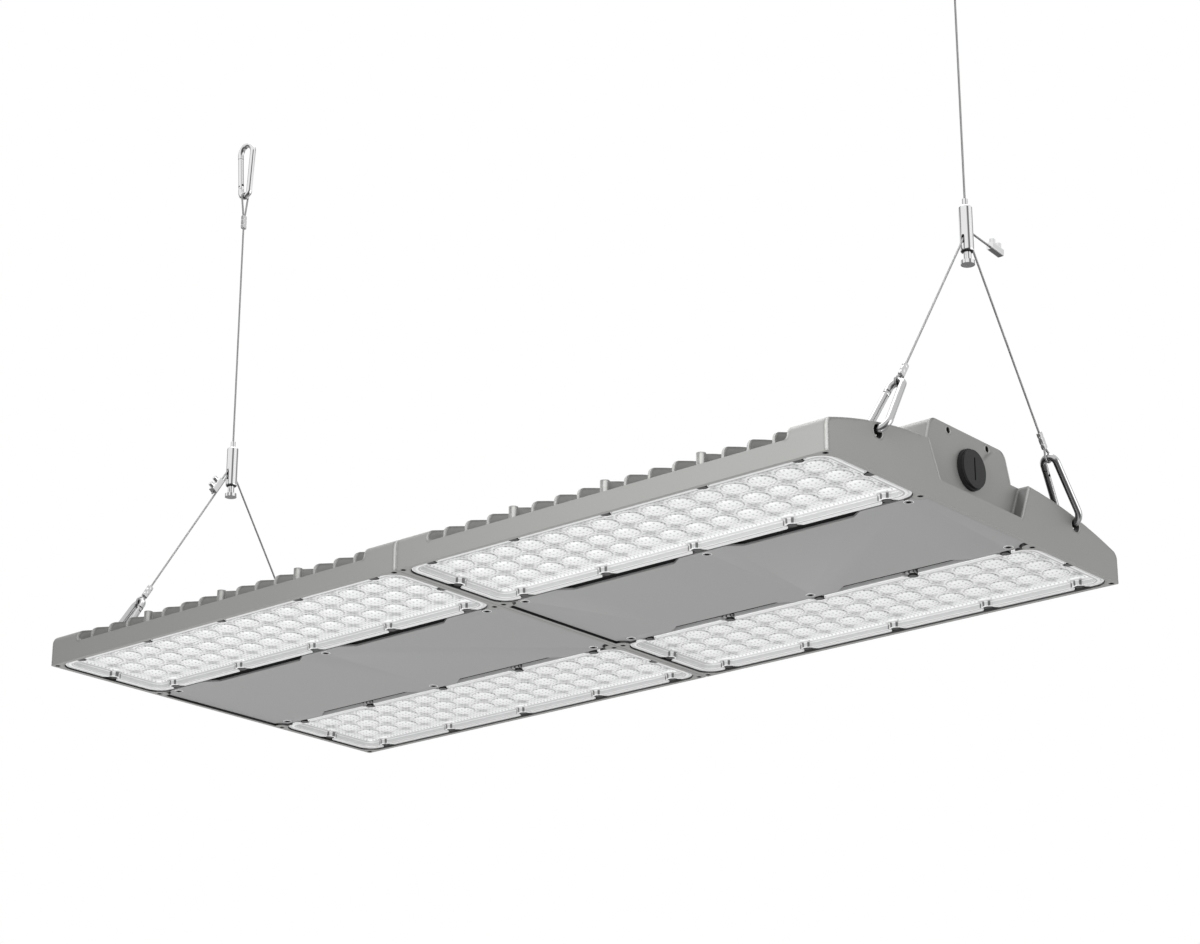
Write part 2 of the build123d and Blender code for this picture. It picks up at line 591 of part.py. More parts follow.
def led_driver():
    """Driver case against the box's ceiling, with a mounting lug at each end."""
    case = Box(DRIVER_LENGTH, DRIVER_WIDTH, DRIVER_HEIGHT, align=HANGING)
    case = fillet(case.edges().filter_by(Axis.X), DRIVER_ROUND)
    case = Pos(DRIVER_X, 0, CAVITY_TOP) * case
    lug_z = CAVITY_TOP - DRIVER_BOSS - LUG_THICK / 2
    lugs = [Pos(x, 0, lug_z) * Box(LUG_LENGTH, LUG_WIDTH, LUG_THICK) for x in driver_screw_spots()]
    case += lugs
    hole = Cylinder(DRIVER_SCREW_RADIUS, 2 * LUG_THICK)
    return case - [Pos(x, 0, lug_z) * hole for x in driver_screw_spots()]


def driver_screws():
    """The LED driver's two screws, under its lugs and up into the bosses."""
    seat = CAVITY_TOP - DRIVER_BOSS - LUG_THICK
    screw = Cylinder(DRIVER_SCREW_RADIUS, DRIVER_SCREW_LENGTH, align=UPRIGHT)
    screw += Cylinder(DRIVER_SCREW_HEAD, LUG_THICK, align=HANGING)
    return [Pos(x, 0, seat) * screw for x in driver_screw_spots()]


def terminal_block():
    """Mains terminal block against the box's ceiling, beside the gland, with a bore for each wire."""
    block = Box(TERMINAL_LENGTH, TERMINAL_WIDTH, TERMINAL_HEIGHT, align=HANGING)
    pitch = TERMINAL_WIDTH / TERMINAL_WAYS
    bores = GridLocations(1, pitch, 1, TERMINAL_WAYS).locations
    across = Rot(0, 90, 0) * Cylinder(TERMINAL_BORE, 2 * TERMINAL_LENGTH)
    block -= [Pos(0, 0, -TERMINAL_HEIGHT / 2) * spot * across for spot in bores]
    return Pos(GLAND_X, TERMINAL_Y, CAVITY_TOP) * block


def hexagon(flats, height):
    """Upright hexagon bar from z = 0, with flats on its two Y sides."""
    return extrude(RegularPolygon(flats / 2, 6, major_radius=False, rotation=30), height)


def ring(outer, inner, height):
    """Upright ring from z = 0."""
    return extrude(Circle(outer) - Circle(inner), height)


def blanking_plug():
    """Threaded plug, from its seal outwards along +Z: thread, rim, face and screwdriver slot."""
    plug = Pos(0, 0, SEAL_THICK - PLUG_THREAD) * Cylinder(PORT_RADIUS, PLUG_THREAD, align=UPRIGHT)
    plug += Pos(0, 0, SEAL_THICK) * Cylinder(PLUG_RIM_RADIUS, PLUG_RIM, align=UPRIGHT)
    plug += Pos(0, 0, SEAL_THICK) * Cylinder(PLUG_FACE_RADIUS, PLUG_HEAD, align=UPRIGHT)
    return plug - Pos(0, 0, SEAL_THICK + PLUG_HEAD) * Box(SLOT_LENGTH, SLOT_WIDTH, 2 * SLOT_DEPTH)


def plug_seal():
    """Flat seal under a plug or the gland."""
    return ring(PLUG_RIM_RADIUS, PORT_RADIUS + THREAD_CLEARANCE, SEAL_THICK)


def lock_nut():
    """Thin nut on a port's thread."""
    return hexagon(LOCK_NUT_FLATS, LOCK_NUT) - Cylinder(PORT_RADIUS, 3 * LOCK_NUT)


def gland_body():
    """Threaded tube with a hexagon collar on the seal."""
    body = Pos(0, 0, SEAL_THICK - PLUG_THREAD) * Cylinder(PORT_RADIUS, PLUG_THREAD, align=UPRIGHT)
    body += Pos(0, 0, SEAL_THICK) * hexagon(LOCK_NUT_FLATS, GLAND_HEX)
    return body - Cylinder(CONDUIT_BORE, 4 * PLUG_THREAD)


def gland_nut():
    """Dome nut over the rubber insert."""
    with BuildSketch(Plane.XZ) as section:
        with BuildLine():
            Polyline(
                (GLAND_INSERT_RADIUS, 0), (GLAND_DOME_RADIUS, 0),
                (GLAND_DOME_RADIUS, GLAND_DOME - GLAND_TAPER), (GLAND_TOP_RADIUS, GLAND_DOME),
                (GLAND_MOUTH_RADIUS, GLAND_DOME),
                (GLAND_MOUTH_RADIUS, GLAND_DOME - GLAND_LIP), (GLAND_INSERT_RADIUS, GLAND_DOME - GLAND_LIP),
                close=True,
            )
        make_face()
    return Pos(0, 0, SEAL_THICK + GLAND_HEX) * revolve(section.sketch, Axis.Z)


def gland_insert():
    """Rubber ring round the mains cable, inside the dome nut."""
    insert = ring(GLAND_INSERT_RADIUS, GLAND_CABLE_RADIUS, GLAND_DOME - GLAND_LIP)
    return Pos(0, 0, SEAL_THICK + GLAND_HEX) * insert


def port(location):
    """Where a port's outer face is, with +Z outwards: the outer end of a module's driver box."""
    return location * Pos(BOX_END, 0, PORT_Z) * Rot(0, 90, 0)


GLAND_PORT = MODULES["right"] * Pos(GLAND_X, GLAND_Y, HUMP_TOP)


def lock_nuts():
    """Every nut on a port's thread: under each plug, under the gland and four on the link conduit."""
    nut = lock_nut()
    nuts = [GLAND_PORT * Pos(0, 0, -BOX_WALL - LOCK_NUT) * nut]
    inside = Pos(0, 0, -END_PLATE - LOCK_NUT)
    for module in MODULES.values():
        nuts.append(port(module) * inside * nut)
        facing = port(module * Rot(0, 0, 180))
        nuts += [facing * inside * nut, facing * nut]
    return nuts


def link_conduit():
    """Threaded tube through the facing end plates of both driver boxes."""
    reach = MODULE_GAP / 2 + POCKET_DEPTH + CONDUIT_REACH
    tube = ring(PORT_RADIUS, CONDUIT_BORE, 2 * reach)
    return Pos(-reach, 0, PORT_Z) * Rot(0, 90, 0) * tube


def bolt_spots():
    """Where the joining bolts' axes cross the joint, with +Z along the light."""
    return [Pos(0, side * PANEL_Y, HOOK_HOLE_Z) * Rot(0, 90, 0) for side in SIDES.values()]


def joining_bolt():
    """Hexagon bolt through both flanges and their washers."""
    reach = BOLT_SEAT + WASHER_THICK
    shank_from = -reach - BOLT_NUT - BOLT_SPARE
    bolt = Pos(0, 0, shank_from) * Cylinder(BOLT_RADIUS, reach - shank_from, align=UPRIGHT)
    return bolt + Pos(0, 0, reach) * hexagon(BOLT_FLATS, BOLT_HEAD)


def joining_nut():
    """Nut against the washer at the other flange."""
    nut = hexagon(BOLT_FLATS, BOLT_NUT) - Cylinder(BOLT_RADIUS, 3 * BOLT_NUT)
    return Pos(0, 0, -BOLT_SEAT - WASHER_THICK - BOLT_NUT) * nut


def joining_washers():
    """A washer behind each flange, and one that fills the gap between them."""
    outer = ring(WASHER_RADIUS, BOLT_RADIUS, WASHER_THICK)
    spacer = ring(WASHER_RADIUS, BOLT_RADIUS, MODULE_GAP)
    middle = Pos(0, 0, -MODULE_GAP / 2) * spacer
    return [Pos(0, 0, BOLT_SEAT) * outer, Pos(0, 0, -BOLT_SEAT - WASHER_THICK) * outer, middle]


# A snap hook lies in the XZ plane. Its wide bend's rod passes through the origin, its narrow bend is above,
# its spine is on the +X side and its gate on the -X side.
LEAN = asin((WIDE_BEND - NARROW_BEND) / HOOK_SPAN)
NARROW_TOP = WIDE_BEND + HOOK_SPAN + NARROW_BEND
GATE_LINE = (-sin(LEAN), 0, -cos(LEAN))
NARROW_GATE_SIDE = (-NARROW_BEND * cos(LEAN), 0, WIDE_BEND + HOOK_SPAN + NARROW_BEND * sin(LEAN))
GATE_LEG = Plane(origin=NARROW_GATE_SIDE, x_dir=(cos(LEAN), 0, -sin(LEAN)), z_dir=GATE_LINE)
GATE_PIN = GATE_LEG.offset(PIN_DROP)
LEG_LENGTH = HOOK_SPAN * cos(LEAN)
GATE_LENGTH = LEG_LENGTH - PIN_DROP - NOSE - NOSE_GAP


def across_pin(radius, half_length):
    """A bar along the gate's pin, on the pin's axis."""
    return GATE_PIN.location * Rot(90, 0, 0) * Cylinder(radius, 2 * half_length)


def hook_body():
    """Round rod bent to a pear shape, open between its nose and the tongue that carries the gate."""
    nose = GATE_LEG.offset(LEG_LENGTH - NOSE).origin
    stub = GATE_LEG.offset(STUB).origin
    c, s = cos(LEAN), sin(LEAN)
    wide, narrow = WIDE_BEND, NARROW_BEND
    narrow_z = WIDE_BEND + HOOK_SPAN
    wide_gate, wide_spine = (-wide * c, wide + wide * s), (wide * c, wide + wide * s)
    narrow_gate, narrow_spine = (-narrow * c, narrow_z + narrow * s), (narrow * c, narrow_z + narrow * s)
    with BuildLine(Plane.XZ) as path:
        Line((nose.X, nose.Z), wide_gate)
        ThreePointArc(wide_gate, (0, 0), wide_spine)
        Line(wide_spine, narrow_spine)
        ThreePointArc(narrow_spine, (0, NARROW_TOP), narrow_gate)
        Line(narrow_gate, (stub.X, stub.Z))
    start = Plane(origin=path.line @ 0, z_dir=path.line % 0)
    rod = sweep(start * Circle(ROD_RADIUS), path=path.line)
    length = PIN_DROP - STUB + FORK_HALF
    tongue = GATE_PIN.location * Box(2 * TONGUE_END, 2 * TONGUE_HALF, length, align=HANGING)
    return rod + tongue + across_pin(TONGUE_END, TONGUE_HALF) - across_pin(PIN_RADIUS, ROD_RADIUS)


def hook_gate():
    """Rod from the pin to just above the nose, with a rounded forked end round the tongue."""
    rod = Pos(0, 0, -GATE_HUB) * Cylinder(GATE_RADIUS, GATE_LENGTH + GATE_HUB, align=UPRIGHT)
    shape = Box(2 * GATE_RADIUS, 2 * GATE_RADIUS, GATE_LENGTH, align=UPRIGHT)
    shape += Rot(90, 0, 0) * Cylinder(GATE_HUB, 2 * GATE_RADIUS)
    slot_reach = TONGUE_END + FORK_SPARE
    slot = Pos(0, 0, -slot_reach) * Box(4 * GATE_RADIUS, 2 * FORK_HALF, 2 * slot_reach, align=UPRIGHT)
    gate = (rod & shape) - slot - Rot(90, 0, 0) * Cylinder(PIN_RADIUS + PIN_RUNNING, 2 * GATE_RADIUS)
    return GATE_PIN.location * gate


def wire_eye(length):
    """Wire loop round a hook's narrow bend; both its strands end side by side, length above the rod."""
    loop = ROD_RADIUS + EYE_CLEARANCE + WIRE_RADIUS
    strand = WIRE_SPACING / 2
    turn = atan2(strand, length) + acos(loop / hypot(strand, length))
    touch = (loop * sin(turn), NARROW_TOP + loop * cos(turn))
    foot = (0, NARROW_TOP - loop)
    end = NARROW_TOP + length
    with BuildLine(Plane.YZ) as path:
        Line((strand, end), touch)
        ThreePointArc(touch, foot, (-touch[0], touch[1]))
        Line((-touch[0], touch[1]), (-strand, end))
    start = Plane(origin=path.line @ 0, z_dir=path.line % 0)
    return sweep(start * Circle(WIRE_RADIUS), path=path.line)


def ferrule(length):
    """Pressed sleeve round both strands of an eye that ends length above the rod."""
    radius = WIRE_RADIUS + FERRULE_WALL
    sleeve = extrude(Rot(0, 0, 90) * SlotCenterToCenter(WIRE_SPACING, 2 * radius), FERRULE_LENGTH)
    return Pos(0, 0, NARROW_TOP + length) * sleeve - wire_eye(length)


# Where the kits' hooks hang. The right kit's frame is the light's own, the left one's is half a turn round.
LEG_REACH = hypot(PANEL_Y, BRIDLE_Z - HOOK_HOLE_Z)
LEG_TURN = degrees(atan2(PANEL_Y, BRIDLE_Z - HOOK_HOLE_Z))
LAMP_HOOKS = {
    name: Pos(FLANGE_X, side * PANEL_Y, HOOK_HOLE_Z) * Rot(side * LEG_TURN, 0, 0) * Pos(0, 0, HOOK_SEAT)
    for name, side in SIDES.items()
}
CEILING_HOOK = Pos(FLANGE_X, 0, TOP_HOOK_Z) * Rot(0, 180, 0)
HOOKS = {**LAMP_HOOKS, "ceiling": CEILING_HOOK}
EYES = {"front": LAMP_EYE, "back": LAMP_EYE, "ceiling": CEILING_EYE}


def leg_start(side):
    """Where a leg wire begins inside the gripper, with +Z along the leg towards the lamp."""
    drop = WIRE_START / sin(radians(LEG_TURN))
    start = Pos(FLANGE_X, 0, BRIDLE_Z) * Rot(180 + side * LEG_TURN, 0, 0)
    return start * Pos(0, 0, drop)


def tail_start(kit):
    """Where a tail wire begins inside the gripper, with +Z along it. The left one is beside a leg wire."""
    turn = TAIL_TURN[kit]
    if kit == "right":
        return Pos(FLANGE_X, WIRE_START, TAIL_Z) * Rot(180 + turn, 0, 0)
    beside = Pos(FLANGE_X, 0, BRIDLE_Z) * Rot(180 + turn, 0, 0) * Pos(0, -TAIL_OFFSET, 0)
    drop = (WIRE_START - TAIL_OFFSET * cos(radians(turn))) / sin(radians(turn))
    return beside * Pos(0, 0, drop)


def wire(length):
    """Straight wire from z = 0."""
    return Cylinder(WIRE_RADIUS, length, align=UPRIGHT)


def main_wire():
    """From the bottom of the gripper's bore, through the plunger, up to the ceiling hook's ferrule."""
    foot = PLUNGER_FOOT - PLUNGER_TRAVEL
    top = TOP_HOOK_Z - NARROW_TOP - CEILING_EYE - FERRULE_LENGTH
    return Pos(FLANGE_X, 0, foot) * wire(top - foot)


def leg_wire(side):
    """From the gripper down to the ferrule of a lamp hook."""
    start = leg_start(side)
    drop = WIRE_START / sin(radians(LEG_TURN))
    ferrule_top = HOOK_SEAT + NARROW_TOP + LAMP_EYE + FERRULE_LENGTH
    return start * wire(LEG_REACH - ferrule_top - drop)


def gripper_body(kit):
    """Turned sleeve: the plunger's bore in its top, the stem's bore in its foot, and slots for the wires."""
    body = Pos(0, 0, GRIPPER_FOOT) * Cylinder(GRIPPER_RADIUS, GRIPPER_TOP - GRIPPER_FOOT, align=UPRIGHT)
    body = fillet(body.edges().filter_by(GeomType.CIRCLE), GRIPPER_ROUND)
    bore_foot = PLUNGER_FOOT - PLUNGER_TRAVEL
    body -= Pos(0, 0, bore_foot) * Cylinder(PLUNGER_BORE, GRIPPER_TOP - bore_foot + OVERCUT, align=UPRIGHT)
    body -= Pos(0, 0, STEM_TOP) * Cylinder(STEM_RADIUS, STEM_TOP - GRIPPER_FOOT + OVERCUT, align=HANGING)
    body = Pos(FLANGE_X, 0, 0) * body
    drill = Cylinder(WIRE_BORE, 3 * GRIPPER_RADIUS, align=UPRIGHT)
    for side in SIDES.values():
        body -= leg_start(side) * drill
        slot = Rot(0, 0, 90) * SlotOverall(LEG_SLOT_HEIGHT, 2 * WIRE_BORE)
        slot = Plane.XZ * slot
        centre = Pos(FLANGE_X, side * LEG_SLOT_FROM, LEG_SLOT_TOP - LEG_SLOT_HEIGHT / 2)
        body -= centre * extrude(slot, 2 * GRIPPER_RADIUS, dir=(0, side, 0))
    return body - tail_start(kit) * drill


def gripper_plunger():
    """Hollow release nipple round the main wire; pressed down, it lets the wire slide."""
    plunger = Pos(0, 0, PLUNGER_FOOT) * ring(PLUNGER_RADIUS, PLUNGER_HOLE, PLUNGER_TOP - PLUNGER_FOOT)
    return Pos(FLANGE_X, 0, 0) * plunger


def gripper_foot():
    """Stem pressed into the gripper's foot, with the disc that the fingers pull against."""
    foot = Pos(0, 0, DISC_FOOT) * Cylinder(DISC_RADIUS, DISC_THICK, align=UPRIGHT)
    foot += Pos(0, 0, DISC_FOOT) * Cylinder(STEM_RADIUS, STEM_TOP - DISC_FOOT, align=UPRIGHT)
    return Pos(FLANGE_X, 0, 0) * foot


def clamp_screw_spots():
    """Heights of a clamp's two screws along its wire."""
    return [-CLAMP_SCREW_SPACING / 2, CLAMP_SCREW_SPACING / 2]


def clamp_location(kit):
    """A clamp's middle on its wire: +Z along the wire, -Y to the screws' side."""
    return tail_start(kit) * Pos(0, 0, CLAMP_AT[kit])


def wire_clamp(kit):
    """Block on the tail wire, drilled for the wire and for two screws."""
    block = Pos(0, CLAMP_BELOW, 0) * Box(
        CLAMP_WIDTH, CLAMP_HEIGHT, CLAMP_LENGTH, align=(Align.CENTER, Align.MAX, Align.CENTER)
    )
    block = fillet(block.edges().filter_by(Axis.Z), CLAMP_ROUND)
    block -= Cylinder(WIRE_RADIUS, 2 * CLAMP_LENGTH)
    for z in clamp_screw_spots():
        block -= Pos(0, 0, z) * Rot(90, 0, 0) * Cylinder(CLAMP_SCREW_RADIUS, CLAMP_HEIGHT, align=UPRIGHT)
    return clamp_location(kit) * block


def clamp_screws(kit):
    """The clamp's screws: each presses on the wire and stands proud of the block."""
    top = CLAMP_HEIGHT - CLAMP_BELOW
    shank = Pos(0, 0, WIRE_RADIUS) * Cylinder(CLAMP_SCREW_RADIUS, top - WIRE_RADIUS, align=UPRIGHT)
    screw = shank + Pos(0, 0, top) * Cylinder(CLAMP_SCREW_HEAD, CLAMP_SCREW_RISE, align=UPRIGHT)
    return [clamp_location(kit) * Pos(0, 0, z) * Rot(90, 0, 0) * screw for z in clamp_screw_spots()]


def group(solids):
    """Separate solids of one node."""
    return Compound(children=[Compound(s.wrapped) if isinstance(s, Compound) else s for s in solids])


def module_nodes():
    """Nodes of both modules."""
    nodes = {}
    cover, gasket, board, screw = lens_cover(), lens_gasket(), led_board(), lens_screw()
    for name, module in MODULES.items():
        nodes[f"housing_{name}"] = module * housing(with_gland=name == "right")
        nodes[f"driver_cover_{name}"] = module * driver_cover()
        nodes[f"led_driver_{name}"] = module * led_driver()
        for side, y in SIDES.items():
            turned = -y if name == "left" else y
            panel = module * Pos(0, turned * PANEL_Y, 0)
            nodes[f"lens_cover_{name}_{side}"] = panel * cover
            nodes[f"led_board_{name}_{side}"] = panel * board
    modules = list(MODULES.values())
    panels = [module * centre for module in modules for centre in panel_centres()]
    nodes["lens_gaskets"] = group([panel * gasket for panel in panels])
    lens_spots = [panel * Pos(x, y, 0) for panel in panels for x, y in lens_screw_spots()]
    nodes["lens_screws"] = group([spot * screw for spot in lens_spots])
    nodes["cover_gaskets"] = group([module * cover_gasket() for module in modules])
    cover_spots = [module * Pos(x, y, 0) for module in modules for x, y in cover_screw_spots()]
    nodes["cover_screws"] = group([spot * cover_screw() for spot in cover_spots])
    nodes["driver_screws"] = group([module * screw for module in modules for screw in driver_screws()])
    nodes["terminal_block"] = MODULES["right"] * terminal_block()
    return nodes


def port_nodes():
    """Nodes of the ports and of the joint between the modules."""
    ports = [port(module) for module in MODULES.values()]
    return {
        "blanking_plugs": group([place * blanking_plug() for place in ports]),
        "port_seals": group([place * plug_seal() for place in ports + [GLAND_PORT]]),
        "gland_body": GLAND_PORT * gland_body(),
        "gland_nut": GLAND_PORT * gland_nut(),
        "gland_insert": GLAND_PORT * gland_insert(),
        "lock_nuts": group(lock_nuts()),
        "link_conduit": link_conduit(),
        "joining_bolts": group([spot * joining_bolt() for spot in bolt_spots()]),
        "joining_nuts": group([spot * joining_nut() for spot in bolt_spots()]),
        "joining_washers": group([spot * washer for spot in bolt_spots() for washer in joining_washers()]),
    }


def kit_nodes():
    """Nodes of both hanging kits."""
    nodes = {}
    body, gate, pin = hook_body(), hook_gate(), across_pin(PIN_RADIUS, PIN_HALF)
    eyes = {name: wire_eye(length) for name, length in EYES.items()}
    sleeves = {name: ferrule(length) for name, length in EYES.items()}
    ends = list(ENDS.values())
    nodes["lamp_hooks"] = group([end * hook * body for end in ends for hook in LAMP_HOOKS.values()])
    nodes["ceiling_hooks"] = group([end * CEILING_HOOK * body for end in ends])
    nodes["gate_pins"] = group([end * hook * pin for end in ends for hook in HOOKS.values()])
    nodes["wire_eyes"] = group([end * hook * eyes[name] for end in ends for name, hook in HOOKS.items()])
    nodes["ferrules"] = group([end * hook * sleeves[name] for end in ends for name, hook in HOOKS.items()])
    nodes["gripper_feet"] = group([end * gripper_foot() for end in ends])
    nodes["clamp_screws"] = group([end * screw for kit, end in ENDS.items() for screw in clamp_screws(kit)])
    for kit, end in ENDS.items():
        for name, hook in HOOKS.items():
            side = name
            if kit == "left" and name in SIDES:
                side = "back" if name == "front" else "front"
            nodes[f"gate_{kit}_{side}"] = end * hook * gate
            if name in SIDES:
                nodes[f"leg_wire_{kit}_{side}"] = end * leg_wire(SIDES[name])
        nodes[f"main_wire_{kit}"] = end * main_wire()
        nodes[f"tail_wire_{kit}"] = end * tail_start(kit) * wire(TAIL_LENGTH[kit])
        nodes[f"gripper_body_{kit}"] = end * gripper_body(kit)
        nodes[f"gripper_plunger_{kit}"] = end * gripper_plunger()
        nodes[f"wire_clamp_{kit}"] = end * wire_clamp(kit)
    return nodes


os.makedirs("parts", exist_ok=True)
for node, shape in {**module_nodes(), **port_nodes(), **kit_nodes()}.items():
    export_step(shape, f"parts/{node}.step")
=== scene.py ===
"""High bay light: the looks of a suspended light with two cast modules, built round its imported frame.

Sizes below are in millimetres, as they are given in a workshop; every mesh is written in metres.
"""

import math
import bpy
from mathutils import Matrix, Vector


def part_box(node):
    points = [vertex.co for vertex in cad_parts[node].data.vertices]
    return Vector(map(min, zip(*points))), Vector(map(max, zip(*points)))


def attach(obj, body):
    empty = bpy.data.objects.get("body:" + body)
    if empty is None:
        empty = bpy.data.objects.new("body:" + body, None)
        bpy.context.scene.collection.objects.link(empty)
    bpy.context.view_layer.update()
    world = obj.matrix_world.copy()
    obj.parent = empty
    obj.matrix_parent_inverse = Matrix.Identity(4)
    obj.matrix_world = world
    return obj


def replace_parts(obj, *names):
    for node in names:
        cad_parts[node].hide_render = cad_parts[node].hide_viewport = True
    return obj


bl_info = {
    "name": "High bay light",
    "version": (1, 0, 0),
    "blender": (4, 5, 0),
    "location": "View3D > Sidebar > High bay",
    "description": "Dresses the modules, lens covers, wires, hooks and grippers of a high bay light",
    "category": "Add Mesh",
}

import bmesh
import bpy
import numpy as np
from bpy.props import FloatProperty, FloatVectorProperty, IntProperty, PointerProperty
from mathutils import Matrix, Vector

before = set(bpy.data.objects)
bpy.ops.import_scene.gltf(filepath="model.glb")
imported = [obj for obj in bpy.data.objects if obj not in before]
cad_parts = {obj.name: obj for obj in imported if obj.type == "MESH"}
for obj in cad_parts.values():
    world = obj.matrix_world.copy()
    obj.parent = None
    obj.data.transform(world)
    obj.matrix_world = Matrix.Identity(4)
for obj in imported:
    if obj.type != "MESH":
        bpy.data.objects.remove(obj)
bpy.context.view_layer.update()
MM = 0.001


def centre(node):
    """Middle of a CAD node's box, in millimetres."""
    low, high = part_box(node)
    return np.array((low + high) / 2) / MM


# Panels, screws and ends, read from the frame
MODULE_SIDES = [(m, s) for m in ("right", "left") for s in ("front", "back")]
MODULE_X = centre("driver_cover_right")[0]
PANEL_Y = abs(centre("lens_cover_right_front")[1])
RIGHT_END = centre("gripper_body_right")[0]

# Castings and cover plates, with the places of their painted shade in recesses, holes and the end pocket; the
# end plate and the pocket beside it are given as distances in from the end
HALF_MODULE, HALF_WIDTH, RECESS_TOP = 171.7, 163.5, 12.0
LIGHT_END = MODULE_X + HALF_MODULE
RIM_WALL_X, RIM_WALL_Y, RIM_CHAMFER = 0.9, 1.0, 0.1
END_PLATE_BACK, END_PLATE_FACE = 13.0, 8.55
POCKET_BACK, POCKET_FACE, POCKET_HALF_WIDE, POCKET_Z = 8.3, 0.3, 62.0, (14.0, 62.0)
COVER_FOOT, COVER_SCREW_X, COVER_SCREW_Y = 1.15, (-154.6, 0.0, 154.6), 55.8
COVER_SCREW_R, COVER_SCREW_DEEP = 3.4, 1.5
RIM_HOLE_X, RIM_HOLE_ROWS, RIM_HOLE_R, RIM_HOLE_DEEP = 167.8, (62.8, 159.8), 1.9, 10.0
END_HOLE_Y, END_HOLE_Z, END_HOLE_R, HOOK_HOLE_R = 22.0, 55.6, 2.3, 4.55
PORT_Z, PLUG_SLOT_HALF_LONG, PLUG_SLOT_HALF_WIDE, PLUG_FACE_FROM = 35.2, 7.5, 1.0, 340.0
# Radius in mm over which the castings' painted edge highlights and shade lines spread
PAINTED_EDGE_RADIUS = 3.5

# Lens cover
HALF_LONG, HALF_WIDE, CORNER = 168.0, 48.6, 12.6
RECESS, RECESS_CORNER = 6.0, 7.0
COLUMN, NOTCH = 5.2, 3.6
SCREW_ROW = (-146.0, -75.12, 0.0, 75.12, 146.0)
SCREW_INSET_ROW, SCREW_INSET_END = 3.3, 3.1
FACE_Z, FLANGE_TOP, TAB_Z, WALL_FOOT, FIELD_Z, BACK_Z = 1.1, 4.0, 2.6, 4.3, 6.0, 7.6
CELL_X, CELL_Y, CELLS_LONG, CELLS_WIDE = 20.4, 21.3, 15, 3
OPTIC_R, OPTIC_CROWN = 8.5, 2.2
TUCK_X, TUCK_Y, ARC_MARGIN = 152.0, 31.0, 2.5

# Snap hook, from its wide bend's rod at the origin towards its narrow bend along Z
ROD, WIDE, NARROW, SPAN = 2.4, 7.2, 4.8, 34.4
NOSE, STUB, PIN_DROP = 3.0, 3.4, 5.6
LEAN = math.asin((WIDE - NARROW) / SPAN)
NARROW_TOP = WIDE + SPAN + NARROW

# Hanging kit
HOOK_HOLE_Z, HOOK_SEAT, BRIDLE_Z, TOP_HOOK_Z = 26.6, 1.35, 195.9, 478.7
LAMP_EYE, CEILING_EYE, FERRULE = 5.9, 17.2, 11.3
WIRE_R, STRANDS, STRAND_GAP, WIRE_START = 0.75, 6, 1.7, 3.0
LEG_TURN = math.degrees(math.atan2(PANEL_Y, BRIDLE_Z - HOOK_HOLE_Z))
LEG_REACH = math.hypot(PANEL_Y, BRIDLE_Z - HOOK_HOLE_Z)
LEG_START = WIRE_START / math.sin(math.radians(LEG_TURN))
# The last of these, two radii in mm, bound the painted shade inside a gripper's bore
BORE_FOOT, GRIPPER_SHOULDER, GRIPPER_BORE_SHADE = 200.5, 212.2, (3.9, 4.3)
PRESSED_GAP = 0.06
TAIL_Z, TAIL_OFFSET = 197.6, 2.4
TAIL_TURN = {"right": 84.7, "left": 33.3}
TAIL_LENGTH = {"right": 39.0, "left": 30.0}


class HighBayFinish(bpy.types.PropertyGroup):
    """Colours and surface values of the light's finishes."""

    casting: FloatVectorProperty(
        name="Casting", description="Powder coat of the cast modules", subtype="COLOR",
        default=(0.30, 0.302, 0.292),
    )
    plate: FloatVectorProperty(
        name="Cover plate", description="Coat of the driver covers", subtype="COLOR",
        default=(0.32, 0.32, 0.32),
    )
    lens: FloatVectorProperty(
        name="Lens", description="Moulding over its white board", subtype="COLOR",
        default=(0.88, 0.885, 0.885),
    )
    hook: FloatVectorProperty(
        name="Hook steel", description="Plated hooks at the lamp", subtype="COLOR",
        default=(0.5, 0.5, 0.505),
    )
    bright: FloatVectorProperty(
        name="Bright steel", description="Ceiling hooks, grippers and clamps", subtype="COLOR",
        default=(0.8, 0.8, 0.805),
    )
    wire: FloatVectorProperty(
        name="Wire", description="Galvanised strands", subtype="COLOR",
        default=(0.4, 0.4, 0.4),
    )
    black: FloatVectorProperty(
        name="Black plastic", description="Plugs, gland and nuts", subtype="COLOR",
        default=(0.02, 0.02, 0.021),
    )


class HighBayShape(bpy.types.PropertyGroup):
    """Sizes of what is modelled over the frame."""

    optic_steps: IntProperty(name="Optic steps", description="Points round each optic", default=48, min=12)
    edge: FloatProperty(
        name="Casting edge", description="Softened edge of the castings", unit="LENGTH",
        default=0.0006, min=0.0,
    )
    wire_lay: FloatProperty(
        name="Wire lay", description="Length in which a strand goes once round its wire", unit="LENGTH",
        default=0.009,
    )


def finish():
    """The colour settings."""
    return bpy.context.scene.high_bay_finish


def shape():
    """The size settings."""
    return bpy.context.scene.high_bay_shape


def new_material(name, color, roughness, metallic=0.0, **sockets):
    """A Principled material with plain values on its sockets; returns its tree and shader as well."""
    material = bpy.data.materials.new(name)
    material.use_nodes = True
    tree = material.node_tree
    shader = tree.nodes["Principled BSDF"]
    shader.inputs["Base Color"].default_value = (*color, 1.0)
    shader.inputs["Roughness"].default_value = roughness
    shader.inputs["Metallic"].default_value = metallic
    for socket, value in sockets.items():
        shader.inputs[socket.replace("_", " ")].default_value = value
    return material, tree, shader


def group_tree(name, inputs, outputs):
    """A shader node group with float or colour inputs and outputs; returns it with its two end nodes."""
    kinds = {"color": "NodeSocketColor", "float": "NodeSocketFloat", "vector": "NodeSocketVector"}
    tree = bpy.data.node_groups.new(name, "ShaderNodeTree")
    for label, kind, value in inputs:
        socket = tree.interface.new_socket(name=label, in_out="INPUT", socket_type=kinds[kind])
        if value is not None:
            socket.default_value = value
    for label, kind in outputs:
        tree.interface.new_socket(name=label, in_out="OUTPUT", socket_type=kinds[kind])
    return tree, tree.nodes.new("NodeGroupInput"), tree.nodes.new("NodeGroupOutput")


